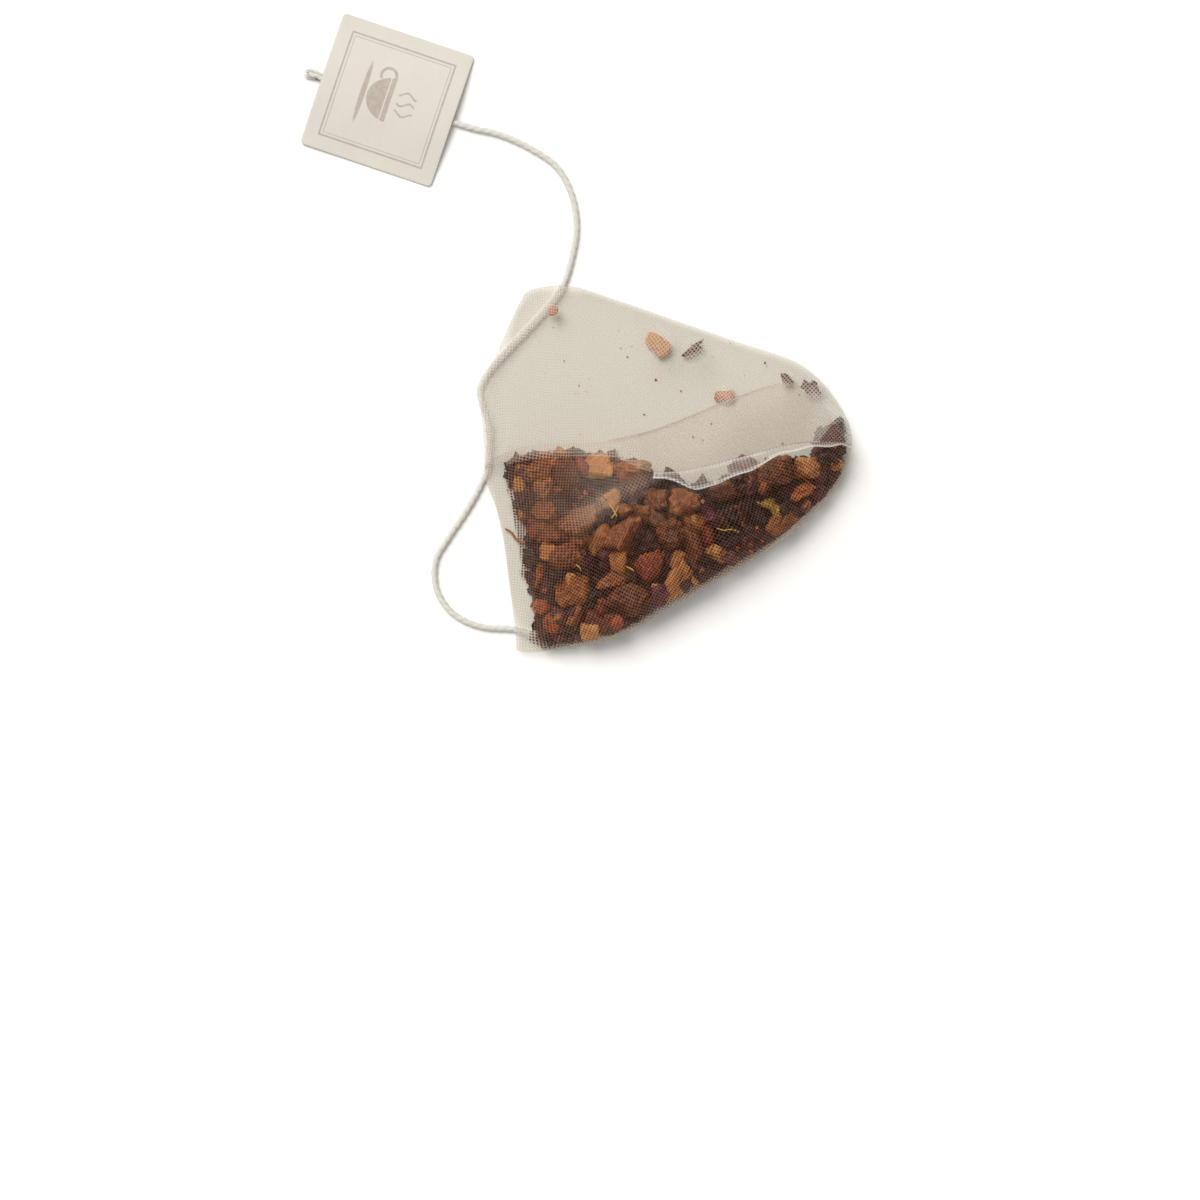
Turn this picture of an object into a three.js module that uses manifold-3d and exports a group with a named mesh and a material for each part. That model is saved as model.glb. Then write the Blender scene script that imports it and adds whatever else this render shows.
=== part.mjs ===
// Pyramid tea bag: a woven mesh pouch with loose fruit infusion inside, lying on one face,
// with its string and paper tag laid out beside it. Millimetres, +Z up. The origin is on the
// table under the middle of the pouch.
import * as THREE from 'three';
import ManifoldModule from 'manifold-3d';
import { mergeVertices } from 'three/addons/utils/BufferGeometryUtils.js';

const wasm = await ManifoldModule();
wasm.setup();

// Pouch: a tube of mesh, sealed flat at one end and sealed crosswise at the other
const MESH_THICKNESS = 0.25;
const SEAM_LENGTH = 57.4;
const SEAM_TILT = 0.0226;
const BAG_REACH = 53.3;
const FAR_CORNER_SHARE = 0.6;
const SELVAGE = 2.5;
const SEAM_HEIGHT = 0.35;
const APEX_HEIGHT = 27;
const APEX_SHARE = 0.41;
const FAR_CORNER_HEIGHT = 5;
const FIN_TURN_IN = 0.8;
const CORNER_GAP_SHARE = 0.985;

// How far each side of the outline stands outside the straight line between its corners,
// as [share of the line, distance]
const SEAM_BOW = [[0.05, 0.2], [0.2, 1.5], [0.32, 2.6], [0.41, 4], [0.475, 5.5], [0.6, 6.1],
  [0.72, 6.7], [0.78, 5.7], [0.84, 4], [0.935, 1.8]];
const UPPER_BOW = [[0.015, 1.2], [0.1, 4.1], [0.255, 5.4], [0.42, 6.3], [0.6, 7.3], [0.77, 8.2],
  [0.855, 7], [0.925, 4.8], [0.975, 2.4]];
const LOWER_BOW = [[0.02, 1.2], [0.09, 3.4], [0.18, 5.8], [0.265, 7.1], [0.36, 7], [0.48, 7.3],
  [0.625, 7.5], [0.73, 7.3], [0.83, 6.3], [0.91, 4.7], [0.96, 2.8]];

// Where the crosswise seal runs between the upper and the lower side, as [share of reach, share]
const RIDGE_LINE = [[0, 0.5], [0.17, 0.48], [0.3, 0.48], [0.41, 0.55], [0.6, 0.535], [0.73, 0.5],
  [0.85, 0.478], [1, 0.5]];
// How far the standing seal leans over, as [share of reach, radians]
const FIN_LEAN = [[0.41, 0.9], [0.52, 1.15], [0.62, 0.9], [0.73, 0.5], [0.85, 0.3], [1, 0.15]];

// Soft folds and the cushion that the infusion makes
const FOLD_LIFT_REACH = 6;
const UPPER_FOLD_HEIGHT = 0.7;
const UPPER_FOLD_ROUND = 2.5;
const LOWER_FOLD_HEIGHT = 0.8;
const TEA_BULGE = 2.6;
const TEA_ROLL = 6;
const CUSHION_LOW = 4.6;
const CUSHION_RISE = 5;
const SIDE_CUSHION = 3.2;
const RIDGE_SOFTNESS = 2.2;
const SEAM_FACE_HOLLOW = 1.15;
const UPPER_FACE_HOLLOW = 1.2;
const LOWER_FACE_HOLLOW = 2.6;
const TEA_STARTS = [-0.12, 0.05];
const PIECE_GAP = 0.3;
const WALL_ROOM = 0.8;

// String, weld and tag. The route starts at the weld and ends in the tail behind the tag,
// measured from the string's corner of the pouch.
const STRING_DIAMETER = 1;
const STRING_STEPS = 62;
const STRING_SIDES = 8;
const FLOOR_GAP = 0.05;
const STRING_ROOM = 0.42;
const RISE_REACH = 4.5;
const STRING_ROUTE = [[2.6, 2.7], [-0.5, 3.4], [-5, 3.7], [-8.2, 4.7], [-10.6, 6.3], [-12.4, 8.7],
  [-13.2, 11.5], [-12.9, 14.8], [-11.1, 17.9], [-8.5, 21.8], [-6.3, 25.5], [-4.8, 29], [-4.4, 32.9],
  [-4.6, 36.8], [-5.5, 39.6], [-5.9, 41.9], [-4.7, 44.7], [-1.9, 47.9], [1.6, 51.5], [5, 55.2],
  [7.6, 59], [9, 63.5], [9.7, 68.2], [8.9, 73.4], [6.5, 77.9], [1.9, 81.1], [-2.9, 83.2],
  [-6.8, 84.1], [-10.2, 85.1], [-20.8, 88.7], [-31.5, 92.3], [-33.3, 92.9]];
const WELD_LENGTH = 3.8;
const WELD_WIDTH = 3;
const WELD_THICKNESS = 0.75;
const TAG_SIDE = 22.2;
const TAG_THICKNESS = 0.3;
const TAG_CORNER_RADIUS = 0.7;
const TAG_CENTRE = [-20.8, 88.7];
const TAG_TURN = -0.326;
const TAG_STRIPS = 12;

// Grid of the pouch: rings along the tube, and steps over each half of a ring
const NEAR_RINGS = 13;
const FAR_RINGS = 11;
const NEAR_SHARE = 0.42;
const HALF_STEPS = 11;
const FOLD_CROWDING = 1.4;

const finish = (color, roughness) => new THREE.MeshStandardMaterial({ color, roughness, metalness: 0 });
const MATERIALS = {
  mesh: new THREE.MeshStandardMaterial({
    color: 0xe6dfd0, roughness: 0.55, metalness: 0, transparent: true, opacity: 0.5,
  }),
  thread: finish(0xf0ede4, 0.85),
  paper: finish(0xdcd7cb, 0.8),
  apple: finish(0xa4693a, 0.75),
  hibiscus: finish(0x3c1a22, 0.7),
  rosehip: finish(0x8e3a1c, 0.7),
  leaf: finish(0x22261c, 0.75),
  petal: finish(0xc9a02a, 0.7),
};

const alongSeam = new THREE.Vector3(Math.sin(SEAM_TILT), Math.cos(SEAM_TILT), 0);
const acrossSeam = new THREE.Vector3(Math.cos(SEAM_TILT), -Math.sin(SEAM_TILT), 0);
// A point by its distances across and along from the string's corner
const fromCorner = (across, along) => acrossSeam.clone().multiplyScalar(across)
  .addScaledVector(alongSeam, along);
const stringCorner = fromCorner(0, 0);
const upperCorner = fromCorner(0, SEAM_LENGTH);
const farCorner = fromCorner(BAG_REACH, FAR_CORNER_SHARE * SEAM_LENGTH);

const clamp = THREE.MathUtils.clamp;
const ease = THREE.MathUtils.smoothstep;

// Smooth reading between the pairs of a list
function readList(list, at) {
  for (let i = 1; i < list.length; i += 1) {
    const [from, low] = list[i - 1];
    const [to, high] = list[i];
    if (at <= to) return low + (high - low) * ease(at, from, to);
  }
  return list[list.length - 1][1];
}

// The lower of two heights, with the crease between them rounded
function softMin(a, b, round) {
  const near = Math.max(round - Math.abs(a - b), 0) / round;
  return Math.min(a, b) - near * near * round / 4;
}

// A quarter of a circle: 0 at 0, steep at first and level from 1 on
const quarterRound = (x) => Math.sqrt(1 - (1 - clamp(x, 0, 1)) ** 2);

// A side of the outline from one corner to another. The bows stand to the right of the way.
function bowedSide(from, to, bows, handed) {
  const way = to.clone().sub(from);
  const out = new THREE.Vector3(way.y, -way.x, 0).normalize().multiplyScalar(handed);
  const points = bows.map(([share, bow]) => from.clone().lerp(to, share).addScaledVector(out, bow));
  return new THREE.CatmullRomCurve3([from, ...points, to], false, 'centripetal');
}
const seamFromBelow = bowedSide(stringCorner, upperCorner, SEAM_BOW, -1);
const upperSide = bowedSide(upperCorner, farCorner, UPPER_BOW, -1);
const lowerSide = bowedSide(stringCorner, farCorner, LOWER_BOW, 1);

// A point of the outline's inside. reach runs from the flat seam (0) to the far corner (1), and
// turn from the upper side (0) to the lower side (1).
function plan(reach, turn) {
  const upper = upperSide.getPointAt(reach);
  const lower = lowerSide.getPointAt(reach);
  const seam = seamFromBelow.getPointAt(1 - turn);
  const chord = upperCorner.clone().lerp(stringCorner, turn);
  return upper.lerp(lower, turn).addScaledVector(seam.sub(chord), 1 - reach);
}
const spanAt = (reach) => upperSide.getPointAt(reach).distanceTo(lowerSide.getPointAt(reach));

// The string lies on the table, and the pouch rises over it and over the weld
const stringRadius = STRING_DIAMETER / 2;
const stringHeight = FLOOR_GAP + stringRadius;
const routePoints = STRING_ROUTE.map(([x, y]) => new THREE.Vector3(x, y, stringHeight));
const route = new THREE.CatmullRomCurve3(routePoints, false, 'centripetal');
const ROUTE_SPOTS = 160;
const routeSpots = route.getSpacedPoints(ROUTE_SPOTS);
const weldWay = routePoints[0].clone().sub(routePoints[1]).normalize();
const weldCentre = routePoints[0].clone().addScaledVector(weldWay, PIECE_GAP + WELD_LENGTH / 2);
const riseHeight = FLOOR_GAP + STRING_DIAMETER + STRING_ROOM;

function stringRise(x, y) {
  let nearest = Math.hypot(x - weldCentre.x, y - weldCentre.y) - WELD_LENGTH / 2;
  for (const spot of routeSpots) {
    nearest = Math.min(nearest, Math.hypot(x - spot.x, y - spot.y) - stringRadius);
  }
  return riseHeight * (1 - ease(nearest, STRING_ROOM * 2, RISE_REACH));
}

const selvageShare = SELVAGE / BAG_REACH;
const upperFoldHeight = (reach) => UPPER_FOLD_HEIGHT * (1 + reach);
const lowerFoldHeight = (reach) => LOWER_FOLD_HEIGHT + TEA_BULGE * Math.sin(Math.PI * reach);
const liftNear = (distance) => (1 - clamp(distance / FOLD_LIFT_REACH, 0, 1)) ** 2;

// Outer height of the cloth that lies on the table
function underside(reach, turn) {
  const span = spanAt(reach);
  const spot = plan(reach, turn);
  const lift = upperFoldHeight(reach) * liftNear(turn * span)
    + lowerFoldHeight(reach) * liftNear((1 - turn) * span)
    + SEAM_HEIGHT * liftNear(reach * BAG_REACH);
  return Math.max(lift, stringRise(spot.x, spot.y));
}

// Height of the crosswise seal's line, which runs straight from the far corner to the apex
const sealLine = (reach) => FAR_CORNER_HEIGHT
  + (APEX_HEIGHT - FAR_CORNER_HEIGHT) * (1 - reach) / (1 - APEX_SHARE);
const CUSHION_LEAN = 0.8;
const cushionHeight = (reach) => CUSHION_LOW
  + CUSHION_RISE * Math.sin(Math.PI * reach ** CUSHION_LEAN);

// Outer height of the cloth above: the lowest of the three faces that meet at the apex, which
// rest on the infusion below
function crown(reach, turn) {
  const flat = underside(reach, turn) + 2 * MESH_THICKNESS;
  if (reach <= selvageShare) return flat;
  const span = spanAt(reach);
  const ridge = readList(RIDGE_LINE, reach);
  const inward = (reach - selvageShare) / (APEX_SHARE - selvageShare);
  const fromSelvage = (reach - selvageShare) * BAG_REACH;
  const overTea = ease(turn, ridge + TEA_STARTS[0], ridge + TEA_STARTS[1]);
  const seamFace = SEAM_HEIGHT + 2 * MESH_THICKNESS + APEX_HEIGHT * inward ** SEAM_FACE_HOLLOW
    + SIDE_CUSHION * quarterRound(fromSelvage / TEA_ROLL) * overTea;
  let sideFace;
  if (turn < ridge) {
    const foot = upperFoldHeight(reach) + 2 * MESH_THICKNESS;
    const rounding = foot * quarterRound(turn * span / UPPER_FOLD_ROUND);
    const climb = (turn / ridge) ** UPPER_FACE_HOLLOW;
    sideFace = foot + rounding + (sealLine(reach) - 2 * foot) * climb;
  } else {
    const inside = (1 - turn) / (1 - ridge);
    const foot = lowerFoldHeight(reach) + 2 * MESH_THICKNESS;
    const cushion = cushionHeight(reach);
    sideFace = foot + (cushion - foot) * quarterRound((1 - turn) * span / TEA_ROLL)
      + (sealLine(reach) - cushion) * inside ** LOWER_FACE_HOLLOW;
  }
  return Math.max(flat, softMin(sideFace, seamFace, RIDGE_SOFTNESS));
}

// Inner surfaces: one cloth thickness inside, measured square to the slope
const STEP = 0.004;
const STEEPEST = 2.4;
const EDGE_INSET = 2.4 * MESH_THICKNESS;
const MOST_INSET = 0.35;
const LEAST_HOLLOW = 0.06;
function insetTurn(reach, turn) {
  const inset = Math.min(EDGE_INSET / spanAt(reach), MOST_INSET);
  return inset + (1 - 2 * inset) * turn;
}
function slopeFactor(height, reach, turn) {
  const here = plan(reach, turn);
  const level = height(reach, turn);
  const onward = Math.min(reach + STEP, 1);
  const back = onward - STEP;
  const sideways = turn < 0.5 ? turn + STEP : turn - STEP;
  const run = plan(onward, turn).distanceTo(plan(back, turn));
  const climb = (height(onward, turn) - height(back, turn)) / run;
  const tilt = (height(reach, sideways) - level) / here.distanceTo(plan(reach, sideways));
  return Math.min(Math.hypot(1, climb, tilt), STEEPEST);
}
function innerHeights(reach, turn) {
  const floor = underside(reach, turn);
  const roof = crown(reach, turn);
  const halfway = (floor + roof) / 2;
  const low = floor + MESH_THICKNESS * slopeFactor(underside, reach, turn);
  const high = roof - MESH_THICKNESS * slopeFactor(crown, reach, turn);
  return {
    low: Math.min(low, halfway - LEAST_HOLLOW / 2),
    high: Math.max(high, halfway + LEAST_HOLLOW / 2),
  };
}

// A closed tube from rings of points, each ring with its upper points first and then its lower
// points the same way. The two ends are closed by strips between the upper and lower points.
function tubeOf(rings) {
  const perRing = rings[0].length;
  const half = perRing / 2;
  const positions = rings.flat().flatMap((point) => [point.x, point.y, point.z]);
  const faces = [];
  const around = (i) => (i < half ? i : perRing - 1 - (i - half));
  for (let r = 0; r + 1 < rings.length; r += 1) {
    for (let i = 0; i < perRing; i += 1) {
      const a = r * perRing + around(i);
      const b = r * perRing + around((i + 1) % perRing);
      faces.push(a, b, b + perRing, a, b + perRing, a + perRing);
    }
  }
  const last = (rings.length - 1) * perRing;
  for (let i = 0; i + 1 < half; i += 1) {
    faces.push(i, half + i, half + i + 1, i, half + i + 1, i + 1);
    faces.push(last + i, last + half + i + 1, last + half + i);
    faces.push(last + i, last + i + 1, last + half + i + 1);
  }
  const geometry = new THREE.BufferGeometry();
  geometry.setAttribute('position', new THREE.Float32BufferAttribute(positions, 3));
  geometry.setIndex(faces);
  return geometry;
}

const MERGE_DISTANCE = 1e-4;
function solidOf(geometry) {
  const bare = geometry.clone();
  for (const name of Object.keys(bare.attributes)) {
    if (name !== 'position') bare.deleteAttribute(name);
  }
  const merged = mergeVertices(bare, MERGE_DISTANCE);
  const vertProperties = new Float32Array(merged.attributes.position.array);
  const triVerts = new Uint32Array(merged.index.array);
  return new wasm.Manifold(new wasm.Mesh({ numProp: 3, vertProperties, triVerts }));
}

function geometryOf(solid) {
  const mesh = solid.getMesh();
  const geometry = new THREE.BufferGeometry();
  geometry.setAttribute('position', new THREE.Float32BufferAttribute(mesh.vertProperties, 3));
  geometry.setIndex(new THREE.Uint32BufferAttribute(mesh.triVerts, 1));
  geometry.computeVertexNormals();
  return geometry;
}

// Turns of a ring, closest together at the two folds, with one on the seal's line
function ringTurns(reach) {
  const ridge = readList(RIDGE_LINE, reach);
  const turns = [];
  for (let i = 0; i <= HALF_STEPS; i += 1) turns.push(ridge * (i / HALF_STEPS) ** FOLD_CROWDING);
  for (let i = HALF_STEPS - 1; i >= 0; i -= 1) {
    turns.push(1 - (1 - ridge) * (i / HALF_STEPS) ** FOLD_CROWDING);
  }
  return turns;
}

function ringReaches(from) {
  const reaches = [from];
  for (let i = 1; i <= NEAR_RINGS; i += 1) {
    const reach = NEAR_SHARE * i / NEAR_RINGS;
    if (reach > from + STEP) reaches.push(reach);
  }
  for (let i = 1; i <= FAR_RINGS; i += 1) {
    reaches.push(NEAR_SHARE + (CORNER_GAP_SHARE - NEAR_SHARE) * i / FAR_RINGS);
  }
  return reaches;
}

// The hollow starts just inside the flat seal
const innerReaches = ringReaches(selvageShare + 2 * STEP);

function outerRing(reach) {
  const turns = ringTurns(reach);
  const above = turns.map((turn) => plan(reach, turn).setZ(crown(reach, turn)));
  const below = turns.map((turn) => plan(reach, turn).setZ(underside(reach, turn)));
  return [...above, ...below];
}

// The hollow's heights at the turns of one ring. It closes to a slit at the two folds.
function ringWalls(reach) {
  const turns = ringTurns(reach).map((turn) => insetTurn(reach, turn));
  return turns.map((turn, i) => {
    const { low, high } = innerHeights(reach, turn);
    const atFold = i === 0 || i === turns.length - 1;
    return { turn, low, high: atFold ? low + LEAST_HOLLOW : high };
  });
}

function innerRing(reach) {
  const walls = ringWalls(reach);
  const above = walls.map(({ turn, high }) => plan(reach, turn).setZ(high));
  const below = walls.map(({ turn, low }) => plan(reach, turn).setZ(low));
  return [...above, ...below];
}

// The crosswise seal stands up from the cloth as a flat double band
function finRing(reach) {
  const turn = readList(RIDGE_LINE, reach);
  const foot = plan(reach, turn).setZ(crown(reach, turn));
  const ahead = plan(reach + STEP, readList(RIDGE_LINE, reach + STEP)).sub(plan(reach, turn));
  const side = new THREE.Vector3(ahead.y, -ahead.x, 0).normalize();
  const lean = readList(FIN_LEAN, reach);
  const up = new THREE.Vector3(0, 0, Math.cos(lean)).addScaledVector(side, Math.sin(lean));
  const across = new THREE.Vector3(0, 0, -Math.sin(lean)).addScaledVector(side, Math.cos(lean));
  const corner = (rise, out) => foot.clone().addScaledVector(up, rise)
    .addScaledVector(across, out * MESH_THICKNESS);
  return [corner(SELVAGE, -1), corner(SELVAGE, 1), corner(-FIN_TURN_IN, -1), corner(-FIN_TURN_IN, 1)];
}

function pouchSolid() {
  const outer = solidOf(tubeOf(ringReaches(0).map(outerRing)));
  const innerRings = innerReaches.map(innerRing);
  const mouth = innerRings[innerRings.length - 1];
  innerRings.push(mouth.map((point) => point.clone().addScaledVector(acrossSeam, 1)));
  const shell = outer.subtract(solidOf(tubeOf(innerRings)));
  const finReaches = [];
  for (let i = 0; i <= FAR_RINGS; i += 1) {
    finReaches.push(THREE.MathUtils.lerp(APEX_SHARE, CORNER_GAP_SHARE - STEP, i / FAR_RINGS));
  }
  return shell.add(solidOf(tubeOf(finReaches.map(finRing))));
}

const bag = new THREE.Group();
function addPiece(name, geometry, material, parent = bag) {
  const mesh = new THREE.Mesh(geometry, material);
  mesh.name = name;
  parent.add(mesh);
  return mesh;
}

const pouch = addPiece('mesh_pouch', geometryOf(pouchSolid()), MATERIALS.mesh);

// Loose infusion. Each row is [kind, across, along, length, width, height, turn], where across
// and along are shares of the pouch's reach and seam length, sizes are in millimetres and turn
// is in degrees.
const INFUSION = [
  ['apple', 0.048, 0.513, 4.5, 3.5, 5, 10],
  ['apple', -0.008, 0.482, 3.9, 2.9, 5, 80],
  ['apple', 0.072, 0.456, 4.5, 3.1, 5.5, 80],
  ['apple', 0.143, 0.5, 4.5, 3.7, 6, 100],
  ['apple', 0.235, 0.52, 5.1, 3.3, 5, 0],
  ['apple', 0.328, 0.504, 5.3, 3.7, 5.5, -10],
  ['hibiscus', 0.012, 0.415, 3.7, 2.5, 4, 80],
  ['leaf', 0.02, 0.354, 3.9, 2.1, 3, 0],
  ['apple', 0.08, 0.398, 4.1, 2.9, 5.5, 10],
  ['apple', 0.088, 0.341, 4.9, 3.1, 5, 25],
  ['apple', 0.188, 0.372, 6.2, 3.5, 6.5, 30],
  ['apple', 0.31, 0.328, 6, 4.9, 7, 15],
  ['apple', 0.366, 0.39, 2.7, 2.5, 6, 0],
  ['hibiscus', 0.034, 0.285, 3.7, 2.7, 3.6, 70],
  ['apple', 0.149, 0.264, 5.3, 3.3, 6, 10],
  ['hibiscus', 0.241, 0.269, 5.1, 3.1, 6, 25],
  ['rosehip', 0.054, 0.208, 4.3, 2.9, 4, 80],
  ['leaf', 0.09, 0.15, 6.2, 3.1, 3.6, 80],
  ['apple', 0.163, 0.172, 5.1, 3.9, 5, 15],
  ['rosehip', 0.392, 0.24, 4.9, 3.9, 6.5, 10],
  ['apple', 0.289, 0.202, 4.5, 2.7, 5, 35],
  ['apple', 0.339, 0.148, 5.6, 4.3, 5.5, 40],
  ['apple', 0.261, 0.083, 4.9, 3.3, 3.8, 0],
  ['rosehip', 0.1, 0.076, 4.5, 4.1, 4.2, 35],
  ['apple', 0.173, 0.099, 3.5, 2.3, 4, 60],
  ['hibiscus', 0.093, 0.045, 2.9, 2, 2.4, 30],
  ['apple', 0.46, 0.338, 3.9, 3.7, 6, 45],
  ['apple', 0.525, 0.311, 6.6, 2.9, 6, 118],
  ['apple', 0.6, 0.285, 3.9, 2.3, 5.6, -20],
  ['apple', 0.495, 0.425, 4.9, 3.7, 7, 20],
  ['hibiscus', 0.583, 0.385, 4.3, 4.1, 7, 0],
  ['apple', 0.607, 0.456, 4.1, 2.5, 6.5, 10],
  ['hibiscus', 0.675, 0.522, 3.9, 3.5, 6, 40],
  ['apple', 0.76, 0.513, 5.8, 3.9, 6.5, 10],
  ['apple', 0.865, 0.525, 3.7, 3.1, 6, 0],
  ['rosehip', 0.859, 0.462, 4.1, 2.3, 5.5, 25],
  ['petal', 0.763, 0.415, 4.6, 2.6, 4, -20],
  ['apple', 0.775, 0.362, 2.9, 2.1, 4.6, 60],
  ['hibiscus', 0.835, 0.41, 3.3, 2.5, 5, 60],
  ['hibiscus', 0.685, 0.42, 4.1, 3.7, 7, 0],
  ['hibiscus', 0.927, 0.631, 3.9, 2.5, 4.2, 30],
  ['leaf', 0.937, 0.57, 4.3, 2.9, 4.4, 80],
  ['hibiscus', 0.425, 0.492, 4.9, 2.5, 6, -5],
  ['apple', 0.482, 0.206, 7.4, 2.9, 4.4, 62],
  ['hibiscus', 0.565, 0.225, 3.7, 2.3, 4.2, 20],
  ['hibiscus', 0.688, 0.33, 4.5, 3.3, 5, 45],
  ['hibiscus', 0.24, 0.447, 3.7, 2.5, 5.5, 0],
  ['apple', 0.415, 0.431, 3.3, 2.9, 6.5, 0],
  ['rosehip', 0.085, 0.955, 1.7, 1.4, 1, 0],
  ['apple', 0.406, 0.871, 3.9, 2.6, 0.9, -50],
  ['hibiscus', 0.515, 0.857, 3.7, 1.3, 0.9, 27],
  ['apple', 0.612, 0.727, 2.9, 1.6, 0.9, 10],
  ['hibiscus', 0.798, 0.778, 2.3, 1.3, 1.2, -40],
  ['hibiscus', 0.875, 0.755, 3.2, 2.1, 1.2, -20],
];
// How square each kind is cut, and how uneven its surface is
const KINDS = {
  apple: { square: 3.2, uneven: 0.12 },
  rosehip: { square: 2.4, uneven: 0.14 },
  hibiscus: { square: 2, uneven: 0.24 },
  leaf: { square: 2, uneven: 0.22 },
  petal: { square: 2.2, uneven: 0.18 },
};
const PIECE_DETAIL = 1;
const MOST_TIP = 0.3;
const LEAST_TIPPED = 2;
const NEIGHBOUR_RANGE = 12;
const SHRINK = 0.96;
const MOST_ROUNDS = 30;

// A repeatable number from 0 to 1
function scatter(seed) {
  const wave = Math.sin(seed * 127.1 + 311.7) * 43758.5453;
  return wave - Math.floor(wave);
}

// The place of a point of the table in the pouch's own reach and turn, by Newton's rounds
const LOCATE_ROUNDS = 8;
function locate(x, y) {
  let reach = clamp(x / BAG_REACH, selvageShare, 1 - selvageShare);
  let turn = 0.5;
  for (let round = 0; round < LOCATE_ROUNDS; round += 1) {
    const here = plan(reach, turn);
    const byReach = plan(reach + STEP, turn).sub(here).divideScalar(STEP);
    const byTurn = plan(reach, turn + STEP).sub(here).divideScalar(STEP);
    const determinant = byReach.x * byTurn.y - byReach.y * byTurn.x;
    const [right, ahead] = [x - here.x, y - here.y];
    reach += (right * byTurn.y - ahead * byTurn.x) / determinant;
    turn += (ahead * byReach.x - right * byReach.y) / determinant;
    reach = clamp(reach, 0, 1 - 2 * STEP);
    turn = clamp(turn, 0, 1 - 2 * STEP);
  }
  return { reach, turn, miss: plan(reach, turn).distanceTo(new THREE.Vector3(x, y, 0)) };
}

// The hollow's own grid, read between its lines
const hollowGrid = innerReaches.map(ringWalls);
const between = THREE.MathUtils.lerp;
function ringHeights(walls, turn) {
  const next = clamp(walls.findIndex((wall) => wall.turn > turn), 1, walls.length - 1);
  const [from, to] = [walls[next - 1], walls[next]];
  const share = clamp((turn - from.turn) / (to.turn - from.turn), 0, 1);
  return { low: between(from.low, to.low, share), high: between(from.high, to.high, share) };
}
function wallHeights(reach, turn) {
  const next = Math.max(innerReaches.findIndex((ring) => ring > reach), 1);
  const share = (reach - innerReaches[next - 1]) / (innerReaches[next] - innerReaches[next - 1]);
  const from = ringHeights(hollowGrid[next - 1], turn);
  const to = ringHeights(hollowGrid[next], turn);
  return { low: between(from.low, to.low, share), high: between(from.high, to.high, share) };
}

function isInside(point) {
  const { reach, turn, miss } = locate(point.x, point.y);
  if (miss > STEP) return false;
  const edge = (EDGE_INSET + PIECE_GAP) / spanAt(reach);
  if (turn < edge || turn > 1 - edge) return false;
  const nearer = reach - WALL_ROOM / BAG_REACH;
  if (nearer < innerReaches[0] || reach > CORNER_GAP_SHARE - STEP) return false;
  const { low } = wallHeights(reach, turn);
  const { high } = wallHeights(nearer, turn);
  return point.z > low + PIECE_GAP - STEP && point.z < high - PIECE_GAP;
}

const roundBall = new THREE.IcosahedronGeometry(1, PIECE_DETAIL);
roundBall.deleteAttribute('normal');
roundBall.deleteAttribute('uv');
const ball = mergeVertices(roundBall);

// The wanted shape of a piece about its own middle, tipped and turned
function looseShape([kind, , , length, width, height, turn], number) {
  const { square, uneven } = KINDS[kind];
  const tip = height > LEAST_TIPPED ? MOST_TIP : 0;
  const place = new THREE.Euler(
    tip * (scatter(number) - 0.5),
    tip * (scatter(number + 0.37) - 0.5),
    THREE.MathUtils.degToRad(turn),
    'ZYX',
  );
  const points = [];
  for (let i = 0; i < ball.attributes.position.count; i += 1) {
    const point = new THREE.Vector3().fromBufferAttribute(ball.attributes.position, i);
    const powers = Math.abs(point.x) ** square + Math.abs(point.y) ** square
      + Math.abs(point.z) ** square;
    const swell = 1 + uneven * (scatter(number * 3.1 + i) - 0.6);
    point.multiplyScalar(swell * powers ** (-1 / square));
    point.multiply(new THREE.Vector3(length / 2, width / 2, height / 2));
    points.push(point.applyEuler(place));
  }
  return points;
}

// Moves a piece's middle towards the middle of the pouch until it is clear of the walls
const pouchMiddle = plan(0.5, 0.5).setZ(SIDE_CUSHION);
function moveInside(middle) {
  const way = pouchMiddle.clone().sub(middle).normalize().multiplyScalar(PIECE_GAP / 2);
  while (!isInside(middle) && middle.distanceTo(pouchMiddle) > SIDE_CUSHION) middle.add(way);
}

const pieces = INFUSION.map((row, number) => {
  const middle = fromCorner(row[1] * BAG_REACH, row[2] * SEAM_LENGTH);
  const points = looseShape(row, number);
  const { reach, turn } = locate(middle.x, middle.y);
  const { low, high } = wallHeights(Math.max(reach, innerReaches[0]), turn);
  const lowest = Math.min(...points.map((point) => point.z));
  middle.z = Math.min(low + PIECE_GAP - lowest, (low + high) / 2);
  moveInside(middle);
  return { kind: row[0], middle, points, size: Math.cbrt(row[3] * row[4] * row[5]) };
});

// Each piece keeps to its own side of the plane between it and a neighbour, and inside the pouch
function fittedPoint(point, piece) {
  let share = 1;
  for (const other of pieces) {
    const toOther = other.middle.clone().sub(piece.middle);
    const distance = toOther.length();
    if (other !== piece && distance < NEIGHBOUR_RANGE) {
      const toPlane = distance * piece.size / (piece.size + other.size) - PIECE_GAP / 2;
      const alongWay = point.dot(toOther) / distance;
      if (alongWay > 0) share = Math.min(share, toPlane / alongWay);
    }
  }
  const fitted = point.clone().multiplyScalar(share);
  while (!isInside(fitted.clone().add(piece.middle)) && fitted.length() > PIECE_GAP) {
    fitted.multiplyScalar(SHRINK);
  }
  return fitted;
}

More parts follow.
